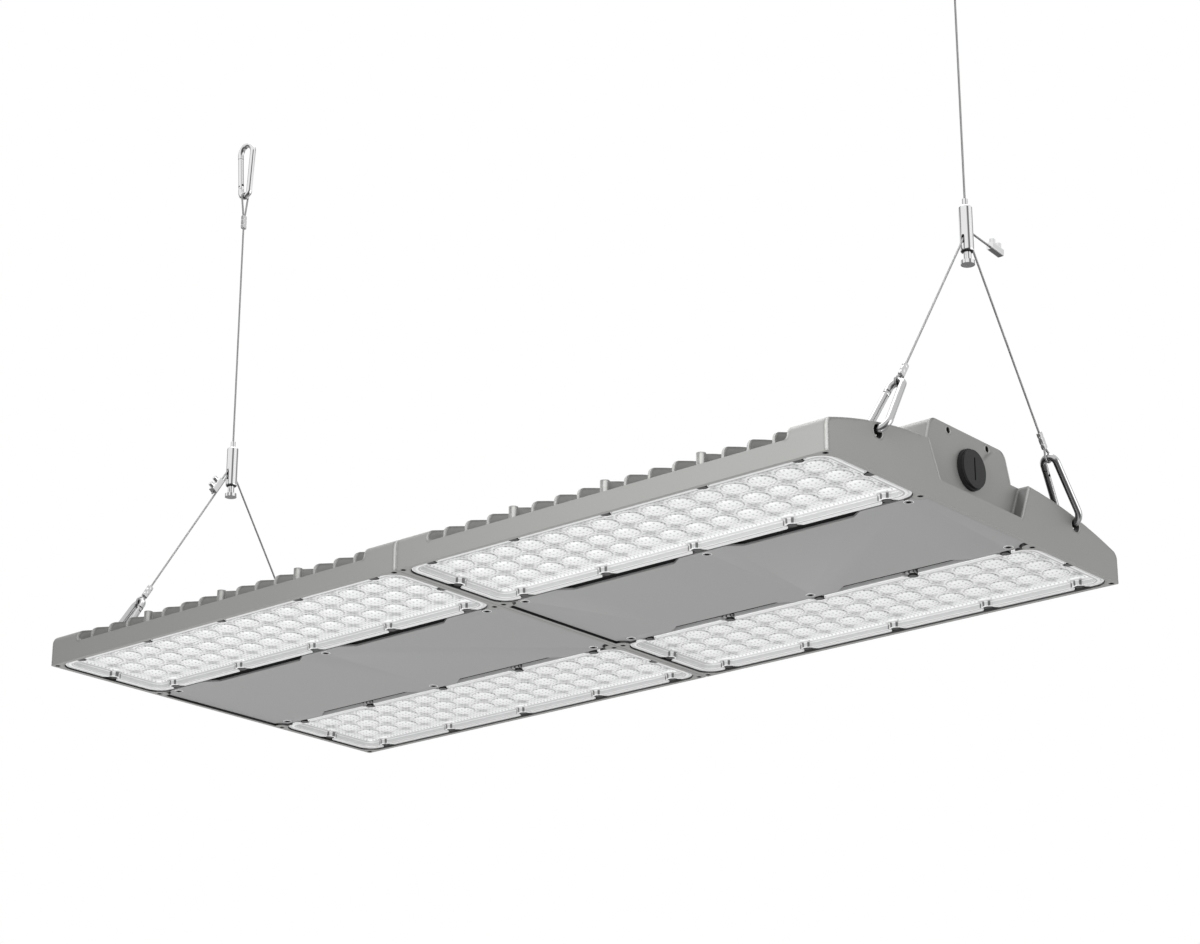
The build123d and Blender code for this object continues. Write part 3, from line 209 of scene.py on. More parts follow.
def math_node(tree, operation, a, b=0.5, c=None):
    """A Math node fed by sockets or plain numbers; returns its output."""
    node = tree.nodes.new("ShaderNodeMath")
    node.operation = operation
    for i, value in enumerate((a, b, c)):
        if value is None:
            continue
        if isinstance(value, (int, float)):
            node.inputs[i].default_value = value
        else:
            tree.links.new(value, node.inputs[i])
    return node.outputs[0]


def absolute(tree, value):
    """A value without its sign."""
    return math_node(tree, "ABSOLUTE", value)


def distance_node(tree, a, b):
    """Square root of a squared plus b squared."""
    squares = math_node(tree, "ADD", math_node(tree, "MULTIPLY", a, a), math_node(tree, "MULTIPLY", b, b))
    return math_node(tree, "SQRT", squares)


def darker(tree, mask, amount):
    """Grey level that is 1 where a mask is 0, and less by an amount where it is 1."""
    return math_node(tree, "MULTIPLY_ADD", mask, -amount, 1.0)


def step_node(tree, value, low, high, out_low=0.0, out_high=1.0):
    """A soft step: out_low at or below low, out_high at or above high."""
    node = tree.nodes.new("ShaderNodeMapRange")
    node.interpolation_type = "SMOOTHSTEP"
    limits = {"From Min": low, "From Max": high, "To Min": out_low, "To Max": out_high}
    for label, number in limits.items():
        node.inputs[label].default_value = number
    tree.links.new(value, node.inputs["Value"])
    return node.outputs["Result"]


def ramp_node(tree, value, stops):
    """Grey levels along a value, as (place, level) stops; returns the colour."""
    node = tree.nodes.new("ShaderNodeValToRGB")
    elements = node.color_ramp.elements
    while len(elements) < len(stops):
        elements.new(0.5)
    for element, (position, level) in zip(elements, stops):
        element.position = position
        element.color = (level, level, level, 1.0)
    tree.links.new(value, node.inputs["Fac"])
    return node.outputs["Color"]


def tinted(tree, color, shade):
    """A colour socket multiplied by a grey level or colour socket."""
    node = tree.nodes.new("ShaderNodeMix")
    node.data_type = "RGBA"
    node.blend_type = "MULTIPLY"
    node.inputs["Factor"].default_value = 1.0
    tree.links.new(color, node.inputs["A"])
    tree.links.new(shade, node.inputs["B"])
    return node.outputs["Result"]


def object_place(tree):
    """X, Y and Z of Object coordinates as three sockets."""
    place_node = tree.nodes.new("ShaderNodeTexCoord")
    split = tree.nodes.new("ShaderNodeSeparateXYZ")
    tree.links.new(place_node.outputs["Object"], split.inputs[0])
    return [split.outputs[axis] for axis in "XYZ"]


def grain_group():
    """Fine grain of a coat or metal: cloudy shade and small pits, from Object coordinates."""
    tree, enter, leave = group_tree(
        "surface_grain",
        [("Color", "color", (0.5, 0.5, 0.5, 1)), ("Scale", "float", 900.0), ("Shade", "float", 0.06),
         ("Roughness", "float", 0.4), ("Spread", "float", 0.08), ("Depth", "float", 0.00002)],
        [("Color", "color"), ("Roughness", "float"), ("Normal", "vector")],
    )
    place = tree.nodes.new("ShaderNodeTexCoord")
    fine = tree.nodes.new("ShaderNodeTexNoise")
    fine.inputs["Detail"].default_value = 3.0
    cloud = tree.nodes.new("ShaderNodeTexNoise")
    cloud.inputs["Scale"].default_value = 14.0
    tree.links.new(place.outputs["Object"], fine.inputs["Vector"])
    tree.links.new(place.outputs["Object"], cloud.inputs["Vector"])
    tree.links.new(enter.outputs["Scale"], fine.inputs["Scale"])
    both = math_node(tree, "ADD", fine.outputs["Fac"], cloud.outputs["Fac"])
    swing = math_node(tree, "SUBTRACT", both, 1.0)
    lift = math_node(tree, "MULTIPLY_ADD", swing, enter.outputs["Shade"], 1.0)
    tree.links.new(tinted(tree, enter.outputs["Color"], lift), leave.inputs["Color"])
    rough = math_node(tree, "MULTIPLY_ADD", swing, enter.outputs["Spread"], enter.outputs["Roughness"])
    tree.links.new(rough, leave.inputs["Roughness"])
    bump = tree.nodes.new("ShaderNodeBump")
    bump.inputs["Strength"].default_value = 1.0
    tree.links.new(enter.outputs["Depth"], bump.inputs["Distance"])
    tree.links.new(fine.outputs["Fac"], bump.inputs["Height"])
    tree.links.new(bump.outputs["Normal"], leave.inputs["Normal"])
    return tree


def placed_group(tree, name, build, values):
    """A node of a shader group, which is built on its first use, with values for its inputs."""
    node = tree.nodes.new("ShaderNodeGroup")
    node.node_tree = bpy.data.node_groups.get(name) or build()
    for socket, value in values.items():
        node.inputs[socket].default_value = value
    return node


def grained(name, color, roughness, metallic, scale, shade, depth, **sockets):
    """A material whose colour, roughness and normal come from the grain group, with its tree and shader."""
    material, tree, shader = new_material(name, color, roughness, metallic, **sockets)
    values = {
        "Color": (*color, 1.0), "Scale": scale, "Shade": shade, "Roughness": roughness, "Spread": 0.06,
        "Depth": depth,
    }
    grain = placed_group(tree, "surface_grain", grain_group, values)
    tree.links.new(grain.outputs["Color"], shader.inputs["Base Color"])
    tree.links.new(grain.outputs["Roughness"], shader.inputs["Roughness"])
    tree.links.new(grain.outputs["Normal"], shader.inputs["Normal"])
    return material, tree, shader


def shade_over(tree, shader, shade):
    """Multiplies what already feeds the shader's colour by a shade."""
    source = shader.inputs["Base Color"].links[0].from_socket
    tree.links.new(tinted(tree, source, shade), shader.inputs["Base Color"])


def under(tree, value, high):
    """1 where a value in metres is less than a size in millimetres, else 0."""
    return math_node(tree, "LESS_THAN", value, high * MM)


def between(tree, value, low, high):
    """1 where a value in metres lies between two sizes in millimetres, else 0."""
    above = math_node(tree, "GREATER_THAN", value, low * MM)
    return math_node(tree, "MULTIPLY", above, under(tree, value, high))


def all_of(tree, *masks):
    """Product of masks."""
    result = masks[0]
    for mask in masks[1:]:
        result = math_node(tree, "MULTIPLY", result, mask)
    return result


def folded_place(tree):
    """Object coordinates of one corner of one module, with the four alike.

    They are |X| from the module's middle, |Y|, Z, and |X| from the light's middle.
    """
    x, y, z = object_place(tree)
    far = absolute(tree, x)
    along = absolute(tree, math_node(tree, "SUBTRACT", far, MODULE_X * MM))
    return along, absolute(tree, y), z, far


def painted_recess_shade(tree):
    """Painted shade of the castings as a grey level: dark in the underside's recesses, darker at their ends
    and in every hole, else 1.
    """
    along, across, z, far = folded_place(tree)
    recess = all_of(
        tree, between(tree, z, RIM_CHAMFER, RECESS_TOP), under(tree, along, HALF_MODULE - RIM_WALL_X),
        under(tree, across, HALF_WIDTH - RIM_WALL_Y),
    )
    ends = all_of(tree, recess, between(tree, along, RIM_HOLE_X - 2.0, HALF_MODULE - RIM_WALL_X))
    end_holes = all_of(
        tree, between(tree, far, LIGHT_END - END_PLATE_BACK, LIGHT_END - END_PLATE_FACE),
        between(tree, across, END_HOLE_Y - END_HOLE_R, END_HOLE_Y + END_HOLE_R),
        between(tree, z, END_HOLE_Z - END_HOLE_R, END_HOLE_Z + END_HOLE_R),
    )
    aside = math_node(tree, "SUBTRACT", across, PANEL_Y * MM)
    raised = math_node(tree, "SUBTRACT", z, HOOK_HOLE_Z * MM)
    hook_holes = under(tree, distance_node(tree, aside, raised), HOOK_HOLE_R)
    holes = math_node(tree, "MAXIMUM", math_node(tree, "MAXIMUM", ends, end_holes), hook_holes)
    beside = math_node(tree, "SUBTRACT", along, RIM_HOLE_X * MM)
    for row in RIM_HOLE_ROWS:
        away = distance_node(tree, beside, math_node(tree, "SUBTRACT", across, row * MM))
        rim_hole = all_of(tree, under(tree, away, RIM_HOLE_R), under(tree, z, RIM_HOLE_DEEP))
        holes = math_node(tree, "MAXIMUM", holes, rim_hole)
    # Painted shade: the recesses, their ends and the holes are darkened
    return all_of(tree, darker(tree, recess, 0.76), darker(tree, holes, 0.85))


def painted_edge_light_and_shade(tree):
    """Painted highlight and shade of upright edges: a dark line beside a bright one, where a face turns from
    X to Y.

    The level follows the product of the rounded normal's X and Y, which is 0 on faces square to either.
    The pocket's side walls, which face along Y between the end plate and the flange, get painted shade.
    """
    rounded = tree.nodes.new("ShaderNodeBevel")
    rounded.samples = 6
    rounded.inputs["Radius"].default_value = PAINTED_EDGE_RADIUS * MM
    split = tree.nodes.new("ShaderNodeSeparateXYZ")
    tree.links.new(rounded.outputs["Normal"], split.inputs[0])
    turned_by = absolute(tree, math_node(tree, "MULTIPLY", split.outputs["X"], split.outputs["Y"]))
    rise = step_node(tree, turned_by, 0.05, 0.14)
    fall = step_node(tree, turned_by, 0.2, 0.3, 1.0, 0.0)
    bright = step_node(tree, turned_by, 0.28, 0.4)
    across, z, far = folded_place(tree)[1:]
    sideways = step_node(tree, absolute(tree, split.outputs["Y"]), 0.75, 0.95)
    pocket = all_of(
        tree, between(tree, far, LIGHT_END - POCKET_BACK, LIGHT_END - POCKET_FACE),
        under(tree, across, POCKET_HALF_WIDE), between(tree, z, *POCKET_Z), sideways,
    )
    # rise and fall make the painted dark line, bright the painted highlight, and the pocket's walls get
    # painted shade
    line = math_node(tree, "MULTIPLY_ADD", bright, 0.8, darker(tree, all_of(tree, rise, fall), 0.5))
    return all_of(tree, line, darker(tree, pocket, 0.62))


def painted_reflection_group():
    """Painted reflection on metal: light and dark bands by the surface's own direction, so they run along a
    rod.
    """
    tree, enter, leave = group_tree(
        "painted_reflection_bands",
        [("Color", "color", (0.7, 0.7, 0.7, 1)), ("Scale", "float", 1.5), ("Dark", "float", 0.15)],
        [("Color", "color")],
    )
    place_node = tree.nodes.new("ShaderNodeTexCoord")
    noise = tree.nodes.new("ShaderNodeTexNoise")
    noise.inputs["Detail"].default_value = 1.0
    noise.inputs["Distortion"].default_value = 0.4
    tree.links.new(place_node.outputs["Normal"], noise.inputs["Vector"])
    tree.links.new(enter.outputs["Scale"], noise.inputs["Scale"])
    # Painted reflection: light bands where the noise on the direction is high, dark ones elsewhere
    light = step_node(tree, noise.outputs["Fac"], 0.4, 0.5)
    rest = math_node(tree, "SUBTRACT", 1.0, enter.outputs["Dark"])
    level = math_node(tree, "MULTIPLY_ADD", light, rest, enter.outputs["Dark"])
    tree.links.new(tinted(tree, enter.outputs["Color"], level), leave.inputs["Color"])
    return tree


def painted_reflection_metal(name, color, roughness, scale, dark):
    """A metal whose colour runs in painted reflection bands, light and dark, with its tree and shader."""
    material, tree, shader = new_material(name, color, roughness, 1.0)
    values = {"Color": (*color, 1.0), "Scale": scale, "Dark": dark}
    bands = placed_group(tree, "painted_reflection_bands", painted_reflection_group, values)
    tree.links.new(bands.outputs["Color"], shader.inputs["Base Color"])
    return material, tree, shader


def bore_shaded_material(color):
    """The grippers' bright steel with painted reflection bands, and painted shade inside their bores and
    slots and below their foot.
    """
    material, tree, shader = painted_reflection_metal("bright_steel_bore_shade", color, 0.2, 1.15, 0.16)
    x, y, z = object_place(tree)
    along = math_node(tree, "SUBTRACT", absolute(tree, x), RIGHT_END * MM)
    low, high = GRIPPER_BORE_SHADE
    # Painted shade inside the bore: dark within its radius, below the shoulder
    inside = step_node(tree, distance_node(tree, along, y), low * MM, high * MM, 0.05, 1.0)
    over_top = math_node(tree, "GREATER_THAN", z, GRIPPER_SHOULDER * MM)
    shade_over(tree, shader, math_node(tree, "MAXIMUM", inside, over_top))
    return material


def cells_group():
    """Pattern of the lens field on its cell coordinates: soft stars at cell corners, fine dots, and an arc of
    painted shade round each optic's rim.
    """
    tree, enter, leave = group_tree(
        "optic_cells",
        [("Color", "color", (0.9, 0.9, 0.9, 1)), ("Star", "float", 0.36), ("Dots", "float", 0.36),
         ("Arc", "float", 0.26), ("Dots per cell", "float", 6.2)],
        [("Color", "color")],
    )
    uv = tree.nodes.new("ShaderNodeUVMap")
    uv.uv_map = "cells"
    split = tree.nodes.new("ShaderNodeSeparateXYZ")
    tree.links.new(uv.outputs["UV"], split.inputs[0])
    noise = tree.nodes.new("ShaderNodeTexNoise")
    noise.inputs["Scale"].default_value = 5.0
    noise.inputs["Detail"].default_value = 4.0
    noise.inputs["Roughness"].default_value = 0.7
    tree.links.new(uv.outputs["UV"], noise.inputs["Vector"])
    away, near, waves = [], [], []
    for axis in ("X", "Y"):
        wrapped = math_node(tree, "FRACT", split.outputs[axis])
        away.append(absolute(tree, math_node(tree, "SUBTRACT", wrapped, 0.5)))
        near.append(math_node(tree, "POWER", math_node(tree, "SUBTRACT", 0.5, away[-1]), 0.7))
        turns = math_node(tree, "MULTIPLY", split.outputs[axis], enter.outputs["Dots per cell"])
        cosine = math_node(tree, "COSINE", math_node(tree, "MULTIPLY", turns, 2 * math.pi))
        waves.append(math_node(tree, "MULTIPLY_ADD", cosine, 0.5, 0.5))
    uneven = math_node(tree, "SUBTRACT", noise.outputs["Fac"], 0.5)
    ragged = math_node(tree, "MULTIPLY_ADD", uneven, 0.55, math_node(tree, "ADD", *near))
    off_line = absolute(tree, math_node(tree, "SUBTRACT", distance_node(tree, *away), 0.43))
    masks = {
        "Star": step_node(tree, ragged, 0.3, 0.62, 1.0, 0.0),
        "Dots": step_node(tree, math_node(tree, "MULTIPLY", *waves), 0.42, 0.85),
        # Painted shade along each optic's rim
        "Arc": step_node(tree, off_line, 0.012, 0.04, 1.0, 0.0),
    }
    keep = 1.0
    for name, mask in masks.items():
        keep = math_node(tree, "SUBTRACT", keep, math_node(tree, "MULTIPLY", mask, enter.outputs[name]))
    tree.links.new(tinted(tree, enter.outputs["Color"], keep), leave.inputs["Color"])
    return tree


def lens_field_material():
    """Clear moulding over its white board, with the optics' stars and dots, and painted shade round each
    optic's rim.
    """
    color = tuple(finish().lens)
    material, tree, shader = new_material("lens_field", color, 0.22, Coat_Weight=0.4, Coat_Roughness=0.08)
    cells = placed_group(tree, "optic_cells", cells_group, {"Color": (*color, 1.0)})
    tree.links.new(cells.outputs["Color"], shader.inputs["Base Color"])
    return material


def map_node(tree, name):
    """U and V of one of a piece's maps."""
    node = tree.nodes.new("ShaderNodeUVMap")
    node.uv_map = name
    split = tree.nodes.new("ShaderNodeSeparateXYZ")
    tree.links.new(node.outputs["UV"], split.inputs[0])
    return split.outputs["X"], split.outputs["Y"]


# Painted shade and highlight lines of a lens rim, as grey levels by height in units of 7 mm and by the
# distance in from its outline in centimetres
WALL_PAINTED_LIGHT = (
    (0.19, 1.0), (0.22, 0.8), (0.54, 0.76), (0.57, 1.0), (0.625, 1.0), (0.64, 0.62), (0.72, 0.62),
    (0.77, 1.0),
)
FLANGE_PAINTED_LIGHT = (
    (0.0, 1.0), (0.09, 1.0), (0.13, 0.82), (0.27, 0.86), (0.31, 1.0), (0.42, 1.0), (0.46, 0.55), (0.56, 0.55),
    (0.6, 1.0),
)


def lens_rim_material():
    """Clear rim: painted shade and highlight lines on its flange and wall, the field's dots behind it,
    painted reflection stripes on its columns and painted shadow in its notches.

    The map "screws" gives the way round the nearest screw in half turns, and the distance from it in
    centimetres; the map "edge" gives the distance in from the cover's outline in centimetres.
    """
    color = tuple(finish().lens)
    material, tree, shader = new_material("lens_rim", color, 0.16, Coat_Weight=0.5, Coat_Roughness=0.05)
    cells = placed_group(tree, "optic_cells", cells_group, {"Color": (*color, 1.0), "Arc": 0.0})
    z = object_place(tree)[2]
    deep = step_node(tree, z, 4.9 * MM, 5.2 * MM)
    for name in ("Star", "Dots"):
        tree.links.new(math_node(tree, "MULTIPLY", deep, 0.36), cells.inputs[name])
    tree.links.new(cells.outputs["Color"], shader.inputs["Base Color"])
    # Painted shade and highlight lines: by height on the wall and slope, then by the distance in on the
    # flange
    height = math_node(tree, "MULTIPLY", z, 1 / (7 * MM))
    shade_over(tree, shader, ramp_node(tree, height, WALL_PAINTED_LIGHT))
    shade_over(tree, shader, ramp_node(tree, map_node(tree, "edge")[0], FLANGE_PAINTED_LIGHT))
    # Painted reflection stripes on the columns round the screws, and painted shadow in the notch by each
    # screw
    turns, away = map_node(tree, "screws")
    tall = math_node(tree, "GREATER_THAN", z, (FACE_Z + 0.2) * MM)
    wave = math_node(tree, "SINE", math_node(tree, "MULTIPLY_ADD", turns, 24.0, 0.6))
    reflection_stripe = step_node(tree, wave, 0.0, 0.6)
    off_ring = absolute(tree, math_node(tree, "SUBTRACT", away, 0.5))
    column = math_node(tree, "MULTIPLY", reflection_stripe, step_node(tree, off_ring, 0.06, 0.13, 1.0, 0.0))
    notch = step_node(tree, away, 0.37, 0.42, 1.0, 0.0)
    dark = math_node(tree, "MULTIPLY", math_node(tree, "MAXIMUM", column, notch), tall)
    shade_over(tree, shader, darker(tree, dark, 0.8))
    return material


def casting_material():
    """Powder coat, with painted highlight and shade lines along its upright edges, and painted shade in the
    underside's recesses and in holes.
    """
    material, tree, shader = grained("casting", finish().casting, 0.45, 0.25, 1400.0, 0.07, 0.00002)
    shade_over(tree, shader, painted_edge_light_and_shade(tree))
    shade_over(tree, shader, painted_recess_shade(tree))
    return material


def plug_material():
    """Black nylon, with the coin slot in a plug's face left in shadow."""
    material, tree, shader = grained(
        "black_plastic", finish().black, 0.6, 0.0, 900.0, 0.15, 0.00002, Specular_IOR_Level=0.25
    )
    x, y, z = object_place(tree)
    slot = all_of(
        tree, under(tree, absolute(tree, y), PLUG_SLOT_HALF_WIDE),
        between(tree, z, PORT_Z - PLUG_SLOT_HALF_LONG, PORT_Z + PLUG_SLOT_HALF_LONG),
        math_node(tree, "GREATER_THAN", absolute(tree, x), PLUG_FACE_FROM * MM),
    )
    shade_over(tree, shader, darker(tree, slot, 0.9))
    return material


def screw_head_material():
    """Countersunk head: painted shade in its socket, grey face and a painted highlight on its rim, by
    centimetres from the screw's middle.
    """
    material, tree, shader = new_material("screw_head", (0.3, 0.3, 0.3), 0.35, 0.9)
    # Painted shade in the socket and a painted highlight on the rim; the face keeps the screw's grey
    levels = [(0.0, 0.03), (0.16, 0.03), (0.18, 0.3), (0.27, 0.3), (0.285, 0.92), (0.33, 0.92), (0.34, 0.25)]
    tree.links.new(ramp_node(tree, map_node(tree, "screws")[1], levels), shader.inputs["Base Color"])
    return material


def materials():
    """Every finish of the light, by name."""
    f = finish()
    return {
        "casting": casting_material(),
        "plate": grained("cover_plate", f.plate, 0.42, 0.25, 1400.0, 0.05, 0.000012)[0],
        "lens_field": lens_field_material(),
        "lens_rim": lens_rim_material(),
        "gasket": grained(
            "gasket_rubber", (0.03, 0.03, 0.03), 0.9, 0.0, 700.0, 0.2, 0.00003, Specular_IOR_Level=0.1
        )[0],
        "black": plug_material(),
        "bright": painted_reflection_metal("bright_steel", f.bright, 0.2, 1.15, 0.16)[0],
        "bore_shaded": bore_shaded_material(f.bright),
        "hook": painted_reflection_metal("hook_steel", f.hook, 0.22, 1.15, 0.32)[0],
        "wire": painted_reflection_metal("galvanised_wire", f.wire, 0.35, 2.2, 0.4)[0],
        "ferrule": painted_reflection_metal("pressed_aluminium", (0.55, 0.55, 0.55), 0.3, 1.8, 0.4)[0],
        "screw": grained("screw_steel", (0.06, 0.06, 0.06), 0.35, 0.8, 800.0, 0.15, 0.00001)[0],
        "screw_head": screw_head_material(),
        "white_board": grained("white_board", (0.8, 0.8, 0.78), 0.5, 0.0, 500.0, 0.03, 0.00001)[0],
        "inner_case": grained("driver_case", (0.5, 0.5, 0.5), 0.4, 0.8, 500.0, 0.08, 0.00001)[0],
    }


FINISH = {}


def paint(obj, name):
    """Gives a piece or CAD node its finish."""
    if not FINISH:
        FINISH.update(materials())
    obj.data.materials.clear()
    obj.data.materials.append(FINISH[name])
    return obj


def grid_faces(rows, columns, wrap):
    """Quads between neighbouring rows of a grid; with wrap, its last column meets its first."""
    r = np.arange(rows - 1)[:, None]
    c = np.arange(columns if wrap else columns - 1)[None, :]
    n = (c + 1) % columns
    low, high = r * columns, (r + 1) * columns
    return np.stack([low + c, low + n, high + n, high + c], axis=-1).reshape(-1, 4)


def piece(name, parts, finish_name, body, smooth=35.0, maps=None, back=None):
    """Joins (points in mm, faces) parts into one mesh in metres, merged, facing outwards, riding on a body.

    maps gives functions for its UV maps, and back the height in mm at which an open sheet is closed.
    """
    points, faces, start = [], [], 0
    for part_points, part_faces in parts:
        points.append(part_points)
        faces += [tuple(int(i) + start for i in face) for face in part_faces]
        start += len(part_points)
    mesh = bpy.data.meshes.new(name)
    mesh.from_pydata((np.concatenate(points) * MM).tolist(), [], faces)
    mesh.validate()
    obj = bpy.data.objects.new(name, mesh)
    bpy.context.scene.collection.objects.link(obj)
    work = bmesh.new()
    work.from_mesh(mesh)
    bmesh.ops.remove_doubles(work, verts=work.verts, dist=1e-7)
    if back is not None:
        close_back(work, back * MM)
    bmesh.ops.recalc_face_normals(work, faces=work.faces)
    work.to_mesh(mesh)
    work.free()
    mesh.shade_smooth()
    mesh.set_sharp_from_angle(angle=math.radians(smooth))
    for map_name, uv in (maps or {}).items():
        write_uv(mesh, map_name, uv)
    paint(obj, finish_name)
    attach(obj, body)
    return obj


def close_back(work, height):
    """Closes an open sheet: walls from its border up to a height, and a flat back over them."""
    border = [edge for edge in work.edges if edge.is_boundary]
    grown = bmesh.ops.extrude_edge_only(work, edges=border)["geom"]
    points = {item for item in grown if isinstance(item, bmesh.types.BMVert)}
    for point in points:
        point.co.z = height
    edges = [item for item in grown if isinstance(item, bmesh.types.BMEdge)]
    rim = [edge for edge in edges if set(edge.verts) <= points]
    bmesh.ops.edgeloop_fill(work, edges=rim)


def write_uv(mesh, map_name, uv):
    """A UV map, where uv turns point coordinates in mm into map coordinates."""
    layer = mesh.uv_layers.new(name=map_name)
    co = np.zeros(len(mesh.vertices) * 3)
    mesh.vertices.foreach_get("co", co)
    corners = np.zeros(len(mesh.loops), dtype=np.int32)
    mesh.loops.foreach_get("vertex_index", corners)
    layer.data.foreach_set("uv", uv(co.reshape(-1, 3) / MM)[corners].ravel())


def soften(node, finish_name, width=0.0, body="lamp", angle=30.0):
    """A merged copy of a CAD node, which stands for it, with a width's softened edges or plain flat faces."""
    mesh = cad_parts[node].data.copy()
    obj = bpy.data.objects.new("soft_" + node, mesh)
    bpy.context.scene.collection.objects.link(obj)
    work = bmesh.new()
    work.from_mesh(mesh)
    bmesh.ops.remove_doubles(work, verts=work.verts, dist=2e-6)
    bmesh.ops.dissolve_limit(
        work, angle_limit=math.radians(0.8), verts=work.verts, edges=work.edges, delimit={"NORMAL"}
    )
    bmesh.ops.recalc_face_normals(work, faces=work.faces)
    work.to_mesh(mesh)
    work.free()
    if width:
        bevel = obj.modifiers.new("edges", "BEVEL")
        bevel.width = width
        bevel.segments = 2
        bevel.limit_method = "ANGLE"
        bevel.angle_limit = math.radians(angle)
        bevel.harden_normals = True
    else:
        weighted = obj.modifiers.new("flat_faces", "WEIGHTED_NORMAL")
        weighted.weight = 100
        weighted.keep_sharp = True
    mesh.shade_smooth()
    mesh.set_sharp_from_angle(angle=math.radians(angle))
    paint(obj, finish_name)
    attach(obj, body)
    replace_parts(obj, node)
    return obj


def side_curve(stations, radius, line, depth):
    """One side of a lens cover: a straight line with an arc of that radius round each screw.

    Along it runs the cover's edge, and the line and the screws' depth are distances in from it.
    """
    points = []
    reach = math.sqrt(max(radius**2 - (line - depth) ** 2, 0)) if line > depth else radius
    first = math.asin((line - depth) / radius) if line > depth else 0.0
    turn = np.linspace(first, math.pi - first, 15)
    for s in stations:
        points.append([[s - reach - ARC_MARGIN, line]])
        points.append(np.stack([s - radius * np.cos(turn), depth + radius * np.sin(turn)], axis=-1))
        points.append([[s + reach + ARC_MARGIN, line]])
    return np.concatenate(points)


def cover_curve(radius, line, corner):
    """A closed outline of the lens cover: four sides with arcs round the screws, and four round corners.

    Each side is its turn, half its length, its distance from the middle, the screws along it and how far in
    they are. Corners are quarter circles with this corner radius.
    """
    sides = [
        (0.0, HALF_LONG, HALF_WIDE, SCREW_ROW, SCREW_INSET_ROW),
        (90.0, HALF_WIDE, HALF_LONG, (0.0,), SCREW_INSET_END),
        (180.0, HALF_LONG, HALF_WIDE, SCREW_ROW, SCREW_INSET_ROW),
        (270.0, HALF_WIDE, HALF_LONG, (0.0,), SCREW_INSET_END),
    ]
    loop = []
    for turn, half, away, stations, depth in sides:
        flat = side_curve(stations, radius, line, depth)
        local = np.stack([flat[:, 0], -(away - flat[:, 1])], axis=-1)
        sweep = np.linspace(-math.pi / 2, 0, 9)
        hub = np.array([half - line - corner, -(away - line - corner)])
        arc = hub + corner * np.stack([np.cos(sweep), np.sin(sweep)], axis=-1)
        a = math.radians(turn)
        spin = np.array([[math.cos(a), math.sin(a)], [-math.sin(a), math.cos(a)]])
        loop.append(np.concatenate([local, arc]) @ spin)
    return np.concatenate(loop)


def outer_curve(inset):
    """The flange's edge, this far in, with a notch open outwards at each screw."""
    return cover_curve(NOTCH + inset, inset, CORNER - inset)


def inner_curve(inset):
    """The recess's edge, this far in, with a column standing at each screw."""
    return cover_curve(COLUMN + inset, RECESS + inset, RECESS_CORNER - inset)


def at_height(curve, z):
    """A plan outline at one height."""
    return np.column_stack([curve, np.full(len(curve), z)])


def lens_rim():
    """Flange, walls and slope of a lens cover, as outlines carried round a closed section."""
    outer, recess = outer_curve(0.3), inner_curve(-0.3)
    lines = [outer + share * (recess - outer) for share in (0.22, 0.26, 0.33, 0.37)]
    field = inner_curve(2.7)
    tucked = np.clip(field, (-TUCK_X, -TUCK_Y), (TUCK_X, TUCK_Y))
    section = [
        (outer_curve(0.0), FLANGE_TOP), (outer_curve(0.0), FACE_Z + 0.3), (outer, FACE_Z),
        (lines[0], FACE_Z), (lines[1], FACE_Z + 0.3), (lines[2], FACE_Z + 0.3), (lines[3], FACE_Z),
        (recess, FACE_Z), (inner_curve(-0.05), FACE_Z + 0.25),
        (inner_curve(0.15), WALL_FOOT), (inner_curve(0.45), WALL_FOOT + 0.15), (field, FIELD_Z),
        (tucked, FIELD_Z + 0.05), (tucked, BACK_Z), (inner_curve(-1.6), BACK_Z),
        (inner_curve(-1.6), FLANGE_TOP),
    ]
    loops = np.array([at_height(curve, z) for curve, z in section])
    rows, columns = loops.shape[:2]
    closed = np.concatenate([loops, loops[:1]])
    return closed.reshape(-1, 3), grid_faces(rows + 1, columns, True)


def slab(near, far):
    """A closed plate between two copies of one outline."""
    n = len(near)
    ends_of_slab = [tuple(range(n)), tuple(range(n, 2 * n))]
    return np.concatenate([near, far]), ends_of_slab + grid_faces(2, n, True).tolist()


def lens_tab(x, y, out):
    """Shelf in a notch on which a screw's head rests: a D-shaped plate with its flat side outwards."""
    turn = np.linspace(0, math.pi, 13)
    rim = np.stack([-NOTCH * np.cos(turn), -NOTCH * np.sin(turn)], axis=-1)
    depth = SCREW_INSET_ROW if out[0] == 0 else SCREW_INSET_END
    rim = np.concatenate([rim, [[NOTCH, depth], [-NOTCH, depth]]])
    across = np.array([out[1], -out[0]], float)
    plan = np.array([x, y]) + rim[:, :1] * across + rim[:, 1:] * np.array(out, float)
    return slab(at_height(plan, TAB_Z), at_height(plan, FLANGE_TOP))


def screw_spots():
    """Screws of one lens cover with the outward direction of each: (x, y, (out x, out y))."""
    rows = [(x, s * (HALF_WIDE - SCREW_INSET_ROW), (0, s)) for s in (-1, 1) for x in SCREW_ROW]
    return rows + [(s * (HALF_LONG - SCREW_INSET_END), 0.0, (s, 0)) for s in (-1, 1)]


